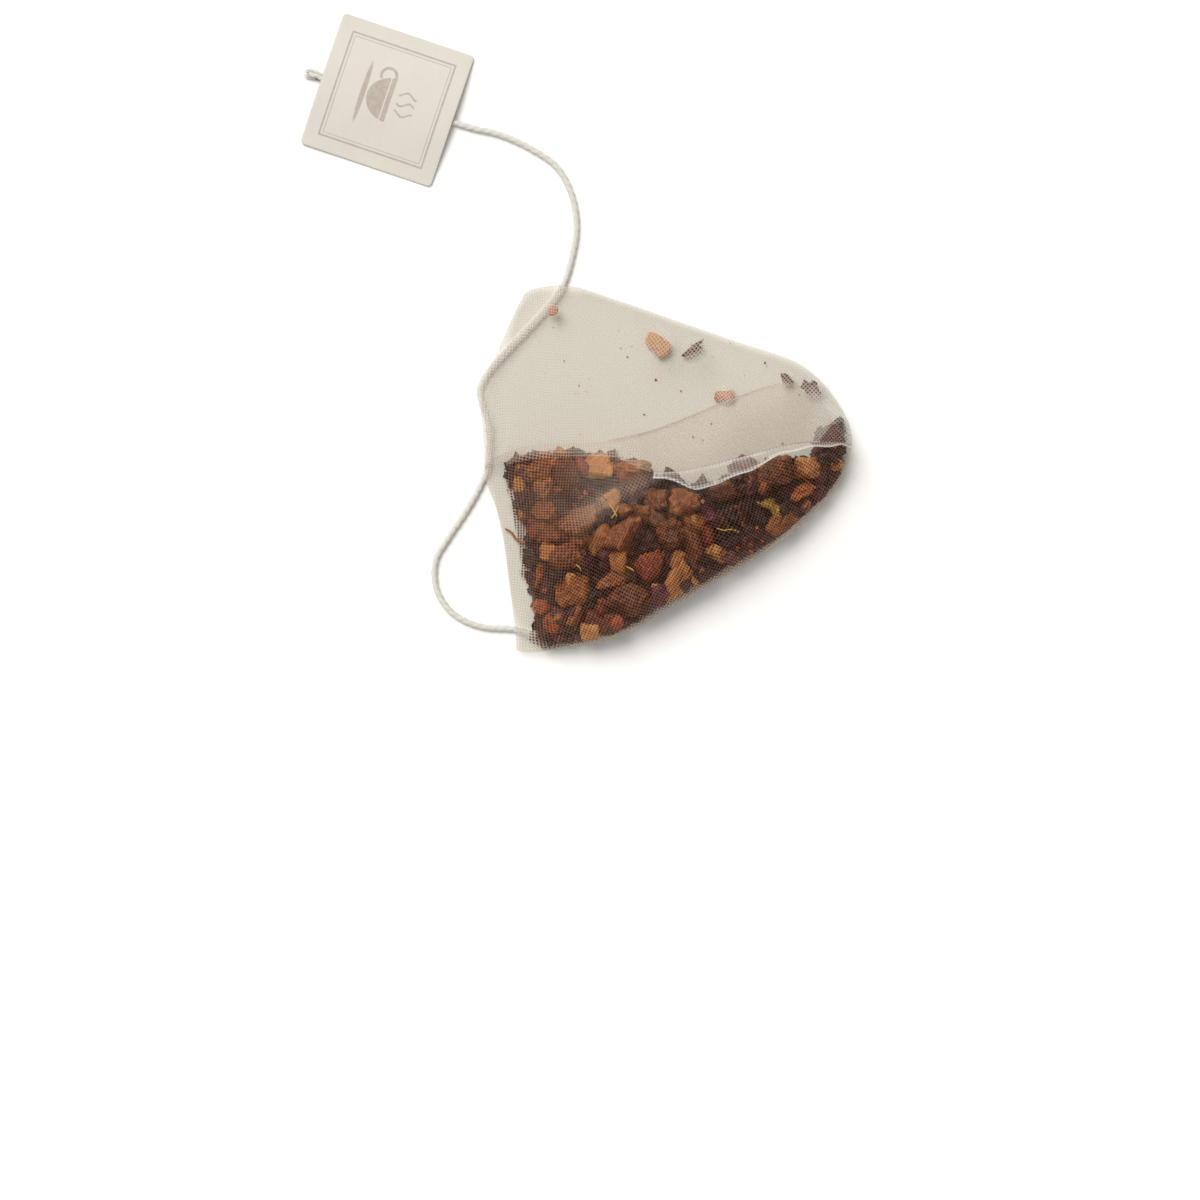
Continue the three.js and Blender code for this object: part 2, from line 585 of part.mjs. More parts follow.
// Draws in the corners of each facet that reaches outside the pouch's hollow between them
function drawInFacets(points, middle) {
  const corners = ball.index.array;
  for (let round = 0; round < MOST_ROUNDS; round += 1) {
    let moved = false;
    for (let i = 0; i < corners.length; i += 3) {
      const facet = [points[corners[i]], points[corners[i + 1]], points[corners[i + 2]]];
      const centre = facet[0].clone().add(facet[1]).add(facet[2]).divideScalar(3);
      const halfway = facet.map((corner, k) => corner.clone().lerp(facet[(k + 1) % 3], 0.5));
      const outside = [centre, ...halfway].some((spot) => !isInside(spot.clone().add(middle)));
      const large = facet.every((corner) => corner.length() > PIECE_GAP);
      if (outside && large) {
        facet.forEach((corner) => corner.multiplyScalar(SHRINK));
        moved = true;
      }
    }
    if (!moved) return;
  }
}

const counts = {};
for (const piece of pieces) {
  const geometry = ball.clone();
  const fitted = piece.points.map((point) => fittedPoint(point, piece));
  drawInFacets(fitted, piece.middle);
  fitted.forEach((point, i) => geometry.attributes.position.setXYZ(i, point.x, point.y, point.z));
  geometry.computeVertexNormals();
  counts[piece.kind] = (counts[piece.kind] ?? 0) + 1;
  const name = `${piece.kind}_piece_${String(counts[piece.kind]).padStart(2, '0')}`;
  addPiece(name, geometry, MATERIALS[piece.kind]).position.copy(piece.middle);
}

// The string: one round thread along its route
const stringSection = new THREE.Shape();
for (let i = 0; i <= STRING_SIDES; i += 1) {
  const angle = 2 * Math.PI * i / STRING_SIDES;
  const [x, y] = [stringRadius * Math.cos(angle), stringRadius * Math.sin(angle)];
  if (i === 0) stringSection.moveTo(x, y);
  else stringSection.lineTo(x, y);
}
const stringTube = new THREE.ExtrudeGeometry(stringSection, {
  steps: STRING_STEPS, curveSegments: 1, extrudePath: route, bevelEnabled: false,
});
addPiece('string', geometryOf(solidOf(stringTube)), MATERIALS.thread);

// The string's flattened end, melted onto the underside of the pouch
const weldOutline = new THREE.Shape();
weldOutline.absellipse(0, 0, WELD_LENGTH / 2, WELD_WIDTH / 2, 0, 2 * Math.PI, false);
const weldPad = new THREE.ExtrudeGeometry(weldOutline, {
  depth: WELD_THICKNESS, curveSegments: 10, bevelEnabled: false,
});
const weld = addPiece('string_weld', geometryOf(solidOf(weldPad)), MATERIALS.thread);
weld.position.set(weldCentre.x, weldCentre.y, FLOOR_GAP * 2);
weld.rotation.z = Math.atan2(weldWay.y, weldWay.x);

// The tag: a square of paper that bows over the string down its middle
function tagSolid() {
  const straddle = STRING_DIAMETER + PIECE_GAP;
  const sheet = new THREE.BoxGeometry(TAG_SIDE, TAG_SIDE, TAG_THICKNESS, 1, TAG_STRIPS, 1);
  const spots = sheet.attributes.position;
  for (let i = 0; i < spots.count; i += 1) {
    const bow = straddle * (1 - (2 * spots.getY(i) / TAG_SIDE) ** 2);
    spots.setZ(i, spots.getZ(i) + bow);
  }
  const half = TAG_SIDE / 2;
  const straight = half - TAG_CORNER_RADIUS;
  const outline = new THREE.Shape();
  outline.absarc(straight, straight, TAG_CORNER_RADIUS, 0, Math.PI / 2);
  outline.absarc(-straight, straight, TAG_CORNER_RADIUS, Math.PI / 2, Math.PI);
  outline.absarc(-straight, -straight, TAG_CORNER_RADIUS, Math.PI, Math.PI * 1.5);
  outline.absarc(straight, -straight, TAG_CORNER_RADIUS, Math.PI * 1.5, Math.PI * 2);
  const depth = 2 * (straddle + TAG_THICKNESS);
  const block = new THREE.ExtrudeGeometry(outline, { depth, curveSegments: 4, bevelEnabled: false });
  block.translate(0, 0, -depth / 2);
  return solidOf(sheet).intersect(solidOf(block));
}
const tag = addPiece('paper_tag', geometryOf(tagSolid()), MATERIALS.paper);
tag.position.set(TAG_CENTRE[0], TAG_CENTRE[1], FLOOR_GAP + TAG_THICKNESS / 2);
tag.rotation.z = TAG_TURN;

pouch.geometry.computeBoundingBox();
const middleOfPouch = pouch.geometry.boundingBox.getCenter(new THREE.Vector3());
bag.position.set(-middleOfPouch.x, -middleOfPouch.y, 0);
export default bag;
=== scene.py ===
# Pyramid tea bag: a see-through mesh pouch of fruit infusion with its string and paper tag.
import math

import bmesh
import bpy
import mathutils
import numpy as np
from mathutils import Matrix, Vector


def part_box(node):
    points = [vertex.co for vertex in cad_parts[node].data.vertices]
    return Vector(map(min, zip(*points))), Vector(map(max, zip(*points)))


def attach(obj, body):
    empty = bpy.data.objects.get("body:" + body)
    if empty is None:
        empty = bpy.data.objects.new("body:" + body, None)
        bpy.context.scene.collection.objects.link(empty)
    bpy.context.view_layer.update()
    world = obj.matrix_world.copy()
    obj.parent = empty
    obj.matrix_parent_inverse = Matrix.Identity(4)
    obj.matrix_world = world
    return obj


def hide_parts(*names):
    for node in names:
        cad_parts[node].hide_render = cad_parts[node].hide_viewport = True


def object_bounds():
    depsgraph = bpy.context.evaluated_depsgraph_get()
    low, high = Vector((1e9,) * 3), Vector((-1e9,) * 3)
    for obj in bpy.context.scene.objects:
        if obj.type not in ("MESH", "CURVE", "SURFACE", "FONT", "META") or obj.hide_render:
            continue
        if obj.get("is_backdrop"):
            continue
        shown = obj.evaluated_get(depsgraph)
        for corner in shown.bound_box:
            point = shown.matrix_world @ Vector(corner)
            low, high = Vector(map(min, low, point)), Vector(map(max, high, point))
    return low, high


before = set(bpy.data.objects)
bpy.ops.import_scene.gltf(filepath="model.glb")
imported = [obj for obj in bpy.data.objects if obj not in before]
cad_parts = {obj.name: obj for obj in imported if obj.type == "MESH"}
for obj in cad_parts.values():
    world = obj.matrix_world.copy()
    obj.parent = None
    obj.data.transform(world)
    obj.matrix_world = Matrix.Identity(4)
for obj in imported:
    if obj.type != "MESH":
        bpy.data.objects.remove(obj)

cad_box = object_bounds()

# View
# The bag is seen from straight above, from far off, so that it shows no perspective.
MM = 0.001
VIEW_MIDDLE = np.array([-10.6, -21.1]) * MM
VIEW_WIDTH = 193.5 * MM
EYE_HEIGHT = 1.3
SENSOR = 36

camera_data = bpy.data.cameras.new("camera")
camera_data.sensor_width = SENSOR
camera_data.lens = SENSOR * EYE_HEIGHT / VIEW_WIDTH
camera_data.clip_end = 10
camera = bpy.data.objects.new("camera", camera_data)
camera.location = (*VIEW_MIDDLE, EYE_HEIGHT)
bpy.context.scene.collection.objects.link(camera)
bpy.context.scene.camera = camera


# String
# One length of soft white thread, two strands twisted together. One end is melted onto the
# pouch's corner, it runs loosely round the pouch on the table, and the tag is glued over it.
def smooth_line(points, steps=24):
    """A centripetal Catmull-Rom curve through the points: each span is blended from straight
    lines between its four nearest points, timed by the square root of their distances."""
    inner = np.asarray(points, float)
    knots = np.vstack([2 * inner[0] - inner[1], inner, 2 * inner[-1] - inner[-2]])
    spans = []
    for a, b, c, d in zip(knots, knots[1:], knots[2:], knots[3:]):
        gaps = [math.sqrt(np.linalg.norm(q - p)) for p, q in ((a, b), (b, c), (c, d))]
        t0, t1, t2, t3 = np.cumsum([0, *gaps])
        t = np.linspace(t1, t2, steps, endpoint=False)[:, None]
        ab = ((t1 - t) * a + (t - t0) * b) / (t1 - t0)
        bc = ((t2 - t) * b + (t - t1) * c) / (t2 - t1)
        cd = ((t3 - t) * c + (t - t2) * d) / (t3 - t2)
        abc = ((t2 - t) * ab + (t - t0) * bc) / (t2 - t0)
        bcd = ((t3 - t) * bc + (t - t1) * cd) / (t3 - t1)
        spans.append(((t2 - t) * abc + (t - t1) * bcd) / (t2 - t1))
    return np.vstack([*spans, inner[-1:]])


def lengths_along(line):
    """Distance from the line's start to each of its points."""
    return np.r_[0, np.cumsum(np.linalg.norm(np.diff(line, axis=0), axis=1))]


def points_at(line, shares):
    """Points of a line at shares of its length, from 0 to 1."""
    along = lengths_along(line)
    return np.stack([np.interp(np.asarray(shares) * along[-1], along, axis) for axis in line.T], -1)


def make_piece(name, points, faces, finish, uv=None, marks=None, smooth=True):
    """A mesh object from points in millimetres, which rides on the bag. uv is one pair for each
    point, and marks are named values for each point."""
    mesh = bpy.data.meshes.new(name)
    mesh.from_pydata((np.asarray(points) * MM).tolist(), [], np.asarray(faces).tolist())
    mesh.polygons.foreach_set("use_smooth", np.full(len(mesh.polygons), smooth))
    corners = np.zeros(len(mesh.loops), int)
    mesh.loops.foreach_get("vertex_index", corners)
    if uv is not None:
        layer = mesh.uv_layers.new(name="cloth")
        layer.data.foreach_set("uv", np.asarray(uv)[corners].astype(np.float32).ravel())
    for mark, values in (marks or {}).items():
        layer = mesh.attributes.new(mark, "FLOAT", "POINT")
        layer.data.foreach_set("value", np.asarray(values).astype(np.float32).ravel())
    mesh.materials.append(finish)
    piece = bpy.data.objects.new(name, mesh)
    bpy.context.scene.collection.objects.link(piece)
    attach(piece, "root")
    return piece


def grid_faces(rows, columns, wrap=False):
    """Quads of a grid of points numbered row by row. wrap joins the last column to the first."""
    row = np.arange(rows - 1)[:, None] * columns
    near = np.arange(columns if wrap else columns - 1)[None]
    far = (near + 1) % columns
    return np.stack([row + near, row + far, row + columns + far, row + columns + near], -1).reshape(-1, 4)


def tube(line, radius, sides):
    """A tube along a line. radius is one number, one for each ring, or one for each side of each
    ring, and sides is even. Each ring is cos and sin of an angle times the line's own two side
    directions, and the ends are closed by a point. Gives points, faces and a pair for each
    point: its share of the way round, and how far along it is."""
    ahead = np.gradient(line, axis=0)
    ahead /= np.linalg.norm(ahead, axis=1)[:, None]
    beside = np.cross(ahead, [0, 0, 1.0])
    beside /= np.maximum(np.linalg.norm(beside, axis=1), 1e-9)[:, None]
    above = np.cross(beside, ahead)
    count = len(line)
    angle = np.linspace(0, 2 * np.pi, sides, endpoint=False)[None] + np.zeros((count, 1))
    radius = np.asarray(radius, float)
    radius = radius[:, None] if radius.ndim == 1 else radius
    rings = line[:, None] + radius[..., None] * (
        np.cos(angle)[..., None] * beside[:, None] + np.sin(angle)[..., None] * above[:, None])
    points = np.vstack([rings.reshape(-1, 3), line[:1], line[-1:]])
    first, last, ends = count * sides, count * sides + 1, (count - 1) * sides
    near = np.arange(0, sides, 2)
    far = (near + 2) % sides
    start_cap = np.stack([0 * near + first, far, near + 1, near], -1)
    end_cap = np.stack([0 * near + last, ends + near, ends + near + 1, ends + far], -1)
    faces = np.vstack([grid_faces(count, sides, wrap=True), start_cap, end_cap])
    around = np.tile(np.arange(sides) / sides, count)
    along = np.repeat(lengths_along(line), sides)
    pairs = np.vstack([np.stack([around, along], -1), [[0, 0], [0, along[-1]]]])
    return points, faces, pairs


def joined(parts):
    """Several (points, faces, pairs) as one, with the faces renumbered."""
    starts = np.cumsum([0] + [len(part[0]) for part in parts])
    faces = np.vstack([part[1] + start for part, start in zip(parts, starts)])
    return np.vstack([part[0] for part in parts]), faces, np.vstack([part[2] for part in parts])


class Value:
    """A number or vector that comes out of a node. + - * / on it add Math nodes."""

    def __init__(self, nodes, socket):
        self.nodes = nodes
        self.socket = socket

    def math(self, operation, *numbers):
        """Adds one Math node."""
        return self.nodes.node("ShaderNodeMath", {"operation": operation}, dict(enumerate(numbers)))

    def __add__(self, other):
        return self.math("ADD", self, other)

    def __sub__(self, other):
        return self.math("SUBTRACT", self, other)

    def __rsub__(self, other):
        return self.math("SUBTRACT", other, self)

    def __mul__(self, other):
        return self.math("MULTIPLY", self, other)

    def __truediv__(self, other):
        return self.math("DIVIDE", self, other)

    def __rtruediv__(self, other):
        return self.math("DIVIDE", other, self)

    def power(self, exponent):
        """The value raised to an exponent."""
        return self.math("POWER", self, exponent)

    def size(self):
        """The value without its sign."""
        return self.math("ABSOLUTE", self)

    def past_whole(self):
        """What is left over the next lower whole number."""
        return self.math("FRACT", self)

    def wave(self):
        """The sine of the value in radians."""
        return self.math("SINE", self)

    def most(self, other):
        """The larger of two."""
        return self.math("MAXIMUM", self, other)

    def least(self, other):
        """The smaller of two."""
        return self.math("MINIMUM", self, other)

    __radd__ = __add__
    __rmul__ = __mul__


class Nodes:
    """A node tree in the making."""

    def __init__(self, tree):
        self.tree = tree

    def put(self, socket, value):
        """Links a Value to a socket, or sets the socket to a number, vector or colour."""
        if isinstance(value, Value):
            self.tree.links.new(value.socket, socket)
        elif isinstance(value, (tuple, list)) and socket.type == "RGBA":
            socket.default_value = (*value[:3], 1)
        else:
            socket.default_value = value

    def node(self, kind, settings=None, sockets=None, output=0):
        """Adds a node: its settings first, a ramp's stops among them, then its sockets."""
        node = self.tree.nodes.new(kind)
        for setting, value in (settings or {}).items():
            if setting == "stops":
                ramp = node.color_ramp
                for _ in range(len(value) - 2):
                    ramp.elements.new(0.5)
                for element, (place, color) in zip(ramp.elements, value):
                    element.position = place
                    element.color = (*color, 1)
            else:
                setattr(node, setting, value)
        for socket, value in (sockets or {}).items():
            self.put(node.inputs[socket], value)
        return Value(self, node.outputs[output])

    def mixed(self, share, first, second):
        """One shader, passing to a second by a share."""
        return self.node("ShaderNodeMixShader", None, {0: share, 1: first, 2: second})

    def seen_plainly(self):
        """1 for what a camera sees or a mirror or glass shows, and 0 for light that bounces."""
        path = "ShaderNodeLightPath"
        camera, mirror, glass = (
            self.node(path, output=f"Is {ray} Ray") for ray in ("Camera", "Glossy", "Transmission"))
        return camera.most(mirror).most(glass)


class Finish(Nodes):
    """A material in the making, round one Principled shader."""

    def __init__(self, name, **constants):
        self.material = bpy.data.materials.new(name)
        self.material.use_nodes = True
        super().__init__(self.material.node_tree)
        self.shader = self.tree.nodes["Principled BSDF"]
        for socket, value in constants.items():
            self.set(socket.replace("_", " ").title().replace("Ior", "IOR"), value)

    def set(self, socket, value):
        """Links a Value to a socket of the Principled shader, or sets it."""
        self.put(self.shader.inputs[socket], value)

    def surface(self, make):
        """Gives the material another surface, made from its Principled shader's."""
        surface = make(Value(self, self.shader.outputs[0]))
        self.put(self.tree.nodes["Material Output"].inputs["Surface"], surface)

    def mark(self, name):
        """A value that the mesh holds for each of its points."""
        return self.node("ShaderNodeAttribute", {"attribute_name": name}, output="Fac")

    def noise(self, scale, detail=3, rough=0.5, vector=None, stretch=None):
        """Noise on the piece's own coordinates or another vector, stretched by three numbers."""
        vector = vector or self.node("ShaderNodeTexCoord", output="Object")
        if stretch:
            vector = self.node("ShaderNodeVectorMath", {"operation": "MULTIPLY"}, {0: vector, 1: stretch})
        sockets = {"Vector": vector, "Scale": scale, "Detail": detail, "Roughness": rough}
        return self.node("ShaderNodeTexNoise", None, sockets)

    def spread(self, value, low, high, to_low=0.0, to_high=1.0):
        """Goes from to_low to to_high in a smooth step while the value goes from low to high."""
        sockets = {"Value": value, "From Min": low, "From Max": high, "To Min": to_low, "To Max": to_high}
        return self.node("ShaderNodeMapRange", {"interpolation_type": "SMOOTHSTEP"}, sockets)

    def mix(self, share, first, second):
        """A colour that passes from the first to the second by a share."""
        sockets = {"Factor": share, 6: first, 7: second}
        return self.node("ShaderNodeMix", {"data_type": "RGBA"}, sockets, output=2)

    def bump(self, height, distance, strength):
        """Roughens the surface by a height from 0 to 1, as if it stood out by a distance."""
        sockets = {"Height": height, "Distance": distance, "Strength": strength}
        self.set("Normal", self.node("ShaderNodeBump", None, sockets, output="Normal"))


WELD_FROM_CORNER = np.array([4.746, 2.215])
weld_low, weld_high = (np.array(corner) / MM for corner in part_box("string_weld"))
string_corner = (weld_low + weld_high)[:2] / 2 - WELD_FROM_CORNER
# Places on the table, from the pouch's corner that the string is melted to.
STRING_ROUTE = [
    [2.6, 2.7], [-0.5, 3.4], [-5, 3.7], [-8.2, 4.7], [-10.6, 6.3], [-12.4, 8.7], [-13.2, 11.5],
    [-12.9, 14.8], [-11.1, 17.9], [-8.5, 21.8], [-6.3, 25.5], [-4.8, 29], [-4.4, 32.9],
    [-4.6, 36.8], [-5.5, 39.6], [-5.9, 41.9], [-4.7, 44.7], [-1.9, 47.9], [1.6, 51.5], [5, 55.2],
    [7.6, 59], [9, 63.5], [9.7, 68.2], [8.9, 73.4], [6.5, 77.9], [1.9, 81.1], [-2.9, 83.2],
    [-6.8, 84.1], [-10.2, 85.1], [-20.8, 88.7], [-31.5, 92.3], [-33.3, 92.9]]
STRING_DIAMETER = 1.0
STRING_HEIGHT = 0.55
PLIES = 2
PLY_RADIUS = 0.41
TWIST_PITCH = 2.8
STRING_STEP = 0.22
THREAD_DEEP, THREAD_PALE, THREAD_PATCH = (0.655, 0.635, 0.575), (0.72, 0.70, 0.64), (0.70, 0.68, 0.62)

route = np.column_stack([np.array(STRING_ROUTE) + string_corner, np.full(len(STRING_ROUTE), STRING_HEIGHT)])
string_line = smooth_line(route)
string_length = lengths_along(string_line)[-1]
string_line = points_at(string_line, np.linspace(0, 1, int(string_length / STRING_STEP)))


def twisted_plies(line, plies, offset, radius, pitch, sides=24):
    """One skin round plies that are twisted together. Each ring is the outline of their circles:
    at an angle a from the nearest ply's middle it is offset cos a + root(radius^2 - (offset sin
    a)^2) from the centre, and the plies' middles turn once in a pitch."""
    along = lengths_along(line)[:, None]
    angle = np.linspace(0, 2 * np.pi, sides, endpoint=False)[None]
    share = 2 * np.pi / plies
    apart = (angle - 2 * np.pi * along / pitch + share / 2) % share - share / 2
    outline = offset * np.cos(apart) + np.sqrt(radius ** 2 - (offset * np.sin(apart)) ** 2)
    return tube(line, outline, sides)


def thread_finish():
    """Soft white thread, lit through: fine fibres along each ply, deeper between them."""
    thread = Finish("white_thread", roughness=0.85, subsurface_weight=1.0, subsurface_scale=0.0005)
    thread.set("Subsurface Radius", (1, 1, 1))
    pair = thread.node("ShaderNodeUVMap", {"uv_map": "cloth"})
    fibres = thread.noise(1.0, 3, 0.6, pair, stretch=(9.0, 1.6, 1.0))
    patches = thread.noise(260.0, 2)
    color = thread.mix(thread.spread(fibres, 0.3, 0.7), THREAD_DEEP, THREAD_PALE)
    thread.set("Base Color", thread.mix(patches * 0.25, color, THREAD_PATCH))
    thread.bump(fibres, 0.00005, 0.4)
    return thread.material


thread_material = thread_finish()
string_points, string_faces, string_pairs = twisted_plies(
    string_line, PLIES, STRING_DIAMETER / 2 - PLY_RADIUS, PLY_RADIUS, TWIST_PITCH)
string = make_piece("twisted_string", string_points, string_faces, thread_material, string_pairs)
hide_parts("string")


# String tail
# Past the tag the thread's cut end has come untwisted into soft loops of ply, and a few single
# fibres stand off it.
TAIL_PLIES = 5
TAIL_LENGTH = 4.2
TAIL_PAST_END = 0.9
TAIL_SPREAD = 0.58
TAIL_RADIUS = 0.27
TAIL_STEPS = 14
TIP_FROM = 0.93
LOOSE_FIBRES = 14
FIBRE_RADIUS = 0.03
FIBRE_RISE = 0.25


def frayed_tail():
    """Plies that fan out from the string's last stretch: each starts inside the string and
    moves sideways by its own share of the spread, along a quarter wave, and its tip is round.
    Thin straight fibres start about the end, each in a seeded direction."""
    draw = np.random.default_rng(5)
    end, before = string_line[-1], string_line[-12]
    ahead = (end - before) / np.linalg.norm(end - before)
    beside = np.cross(ahead, [0, 0, 1.0])
    share = np.linspace(0, 1, TAIL_STEPS)[:, None]
    parts = []
    for ply in range(TAIL_PLIES):
        side = 2 * ply / (TAIL_PLIES - 1) - 1
        length = TAIL_LENGTH * draw.uniform(0.86, 1.0)
        bow = draw.uniform(-0.12, 0.12)
        line = end + ahead * (length * share - TAIL_LENGTH + TAIL_PAST_END)
        off = TAIL_SPREAD * side * np.sin(share * np.pi / 2) + bow * np.sin(share * np.pi)
        line = line + beside * off
        line[:, 2] += 0.1 * draw.uniform(-1, 1) * share[:, 0]
        tip = np.clip((share[:, 0] - TIP_FROM) / (1 - TIP_FROM), 0, 1)
        round_end = np.sqrt(np.clip(1 - tip ** 2, 0.05, 1))
        parts.append(tube(line, TAIL_RADIUS * round_end, 8))
    for _ in range(LOOSE_FIBRES):
        start = end + beside * draw.uniform(-0.4, 0.4) - ahead * draw.uniform(0, 1.2)
        way = ahead * draw.uniform(0.4, 1.5) + beside * draw.uniform(-0.7, 0.7)
        line = start + way * share + np.array([0, 0, FIBRE_RISE]) * share * draw.uniform(-0.6, 1)
        parts.append(tube(line, FIBRE_RADIUS, 4))
    return joined(parts)


tail_points, tail_faces, tail_pairs = frayed_tail()
tail = make_piece("frayed_tail", tail_points, tail_faces, thread_material, tail_pairs)


# String weld
# The thread's other end is melted flat onto the underside of the pouch's corner.
WELD_SIZE = np.array([3.8, 3.0, 0.75])
WELD_RINGS, WELD_SIDES = 17, 40


def melted_pad():
    """A flat oval pad: a sphere's points, flattened by a power and pressed uneven by waves, then
    turned to lie along the string's first stretch."""
    angles, heights = np.linspace(0, 2 * np.pi, WELD_SIDES, endpoint=False), np.linspace(-1, 1, WELD_RINGS)
    angle, up = np.meshgrid(angles, heights)
    bulge = np.sqrt(np.clip(1 - np.abs(up) ** 3, 0, 1))
    wave = 1 + 0.06 * np.sin(3 * angle + 1) + 0.04 * np.sin(7 * angle)
    points = np.stack([bulge * wave * np.cos(angle), bulge * wave * np.sin(angle), up], -1)
    points *= WELD_SIZE / 2
    points[..., 2] *= 1 - 0.12 * np.sin(3 * points[..., 0]) * np.cos(2.4 * points[..., 1])
    first, second = np.array(STRING_ROUTE[:2])
    cos, sin = (first - second) / np.linalg.norm(first - second)
    points = points @ np.array([[cos, sin, 0], [-sin, cos, 0], [0, 0, 1]])
    points = (points + (weld_low + weld_high) / 2).reshape(-1, 3)
    return points, grid_faces(WELD_RINGS, WELD_SIDES, wrap=True)


weld_points, weld_faces = melted_pad()
weld_pairs = np.zeros((len(weld_points), 2))
weld = make_piece("melted_string_end", weld_points, weld_faces, thread_material, weld_pairs)
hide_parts("string_weld")


# Paper tag
# A square of off-white card, cut with slightly rounded corners and a faintly uneven edge. It
# bows over the string that is glued behind it.
TAG_SIDE = 22.2
TAG_THICKNESS = 0.3
TAG_CORNER = 0.7
TAG_TURN = -0.326
TAG_CENTRE = np.array([-20.8, 88.7])
TAG_BOW = 1.03
TAG_LOW = 0.05
TAG_STEPS = 120
TAG_RIM, TAG_EDGE_ROUND = 0.5, 0.05
PAPER_DEEP, PAPER_PALE, PAPER_FIBRE = (0.70, 0.665, 0.585), (0.72, 0.685, 0.60), (0.67, 0.635, 0.555)
INK = (0.47, 0.40, 0.335)
INK_EDGE = 0.05
# Half the side of each ruled square, and the width of its line.
RULES = [[8.7, 0.3], [8.15, 0.12]]
BOWL_RIM, BOWL_WIDE, BOWL_DEEP = 0.6, 3.6, 4.0
BAND_AT, BAND_HALF = -0.3, 0.12
HANDLE_AT, HANDLE_RADIUS, HANDLE_HALF = (3.7, -0.9), 1.25, 0.24
SAUCER_AT, SAUCER_WIDE, SAUCER_THICK = -4.1, 5.0, 0.42
STEAM_STARTS = (-1.6, 0.0, 1.6)
STEAM_AT, STEAM_TALL, STEAM_SWAY, STEAM_HALF = 3.1, 1.5, 0.38, 0.17


def card(side, steps):
    """A thick square sheet. A square grid is pulled in at the corners to an arc, its edge waves
    by a few hundredths, and its height is a parabola over the string with a slow warp on it.
    The lower face is the same grid one thickness down, and a strip joins the two."""
    line = np.linspace(-1, 1, steps)
    line = np.sign(line) * (1 - (1 - np.abs(line)) ** 1.15)
    x, y = np.meshgrid(line * side / 2, line * side / 2)
    straight = side / 2 - TAG_CORNER
    past_x, past_y = np.maximum(np.abs(x) - straight, 0), np.maximum(np.abs(y) - straight, 0)
    past = np.maximum(np.hypot(past_x, past_y), 1e-9)
    pull = np.where((past_x > 0) & (past_y > 0), np.minimum(np.maximum(past_x, past_y) / past, 1), 1)
    x = np.sign(x) * (np.minimum(np.abs(x), straight) + past_x * pull)
    y = np.sign(y) * (np.minimum(np.abs(y), straight) + past_y * pull)
    rim = np.clip((np.maximum(np.abs(x), np.abs(y)) - side / 2 + TAG_RIM) / TAG_RIM, 0, 1)
    tooth = 0.03 * np.sin(2 * np.pi * (x + y) / 0.62) + 0.02 * np.sin(2 * np.pi * (x - y) / 0.37 + 1)
    x, y = x * (1 + rim * tooth / side), y * (1 + rim * tooth / side)
    bow = TAG_BOW * np.clip(1 - (2 * y / side) ** 2, 0, 1) ** 1.6
    warp = 0.12 * np.sin(x / 6.1 + 0.7) * np.sin(y / 4.9 + 0.4) + 0.03 * np.sin(x / 1.7) * np.sin(y / 2.3)
    edge_round = TAG_EDGE_ROUND * rim ** 2
    low = TAG_LOW + bow + np.maximum(warp + 0.15, 0.02) * 0.8
    top = np.stack([x, y, low + TAG_THICKNESS - edge_round], -1).reshape(-1, 3)
    bottom = np.stack([x, y, low], -1).reshape(-1, 3)
    count = steps * steps
    faces = grid_faces(steps, steps)
    under = faces[:, ::-1] + count
    index = np.arange(count).reshape(steps, steps)
    around = np.concatenate([index[0, :-1], index[:-1, -1], index[-1, :0:-1], index[:0:-1, 0]])
    after = np.roll(around, -1)
    strip = np.stack([around + count, after + count, after, around], -1)
    pairs = np.stack([x, y], -1).reshape(-1, 2)
    return np.vstack([top, bottom]), np.vstack([faces, under, strip]), np.vstack([pairs, pairs])


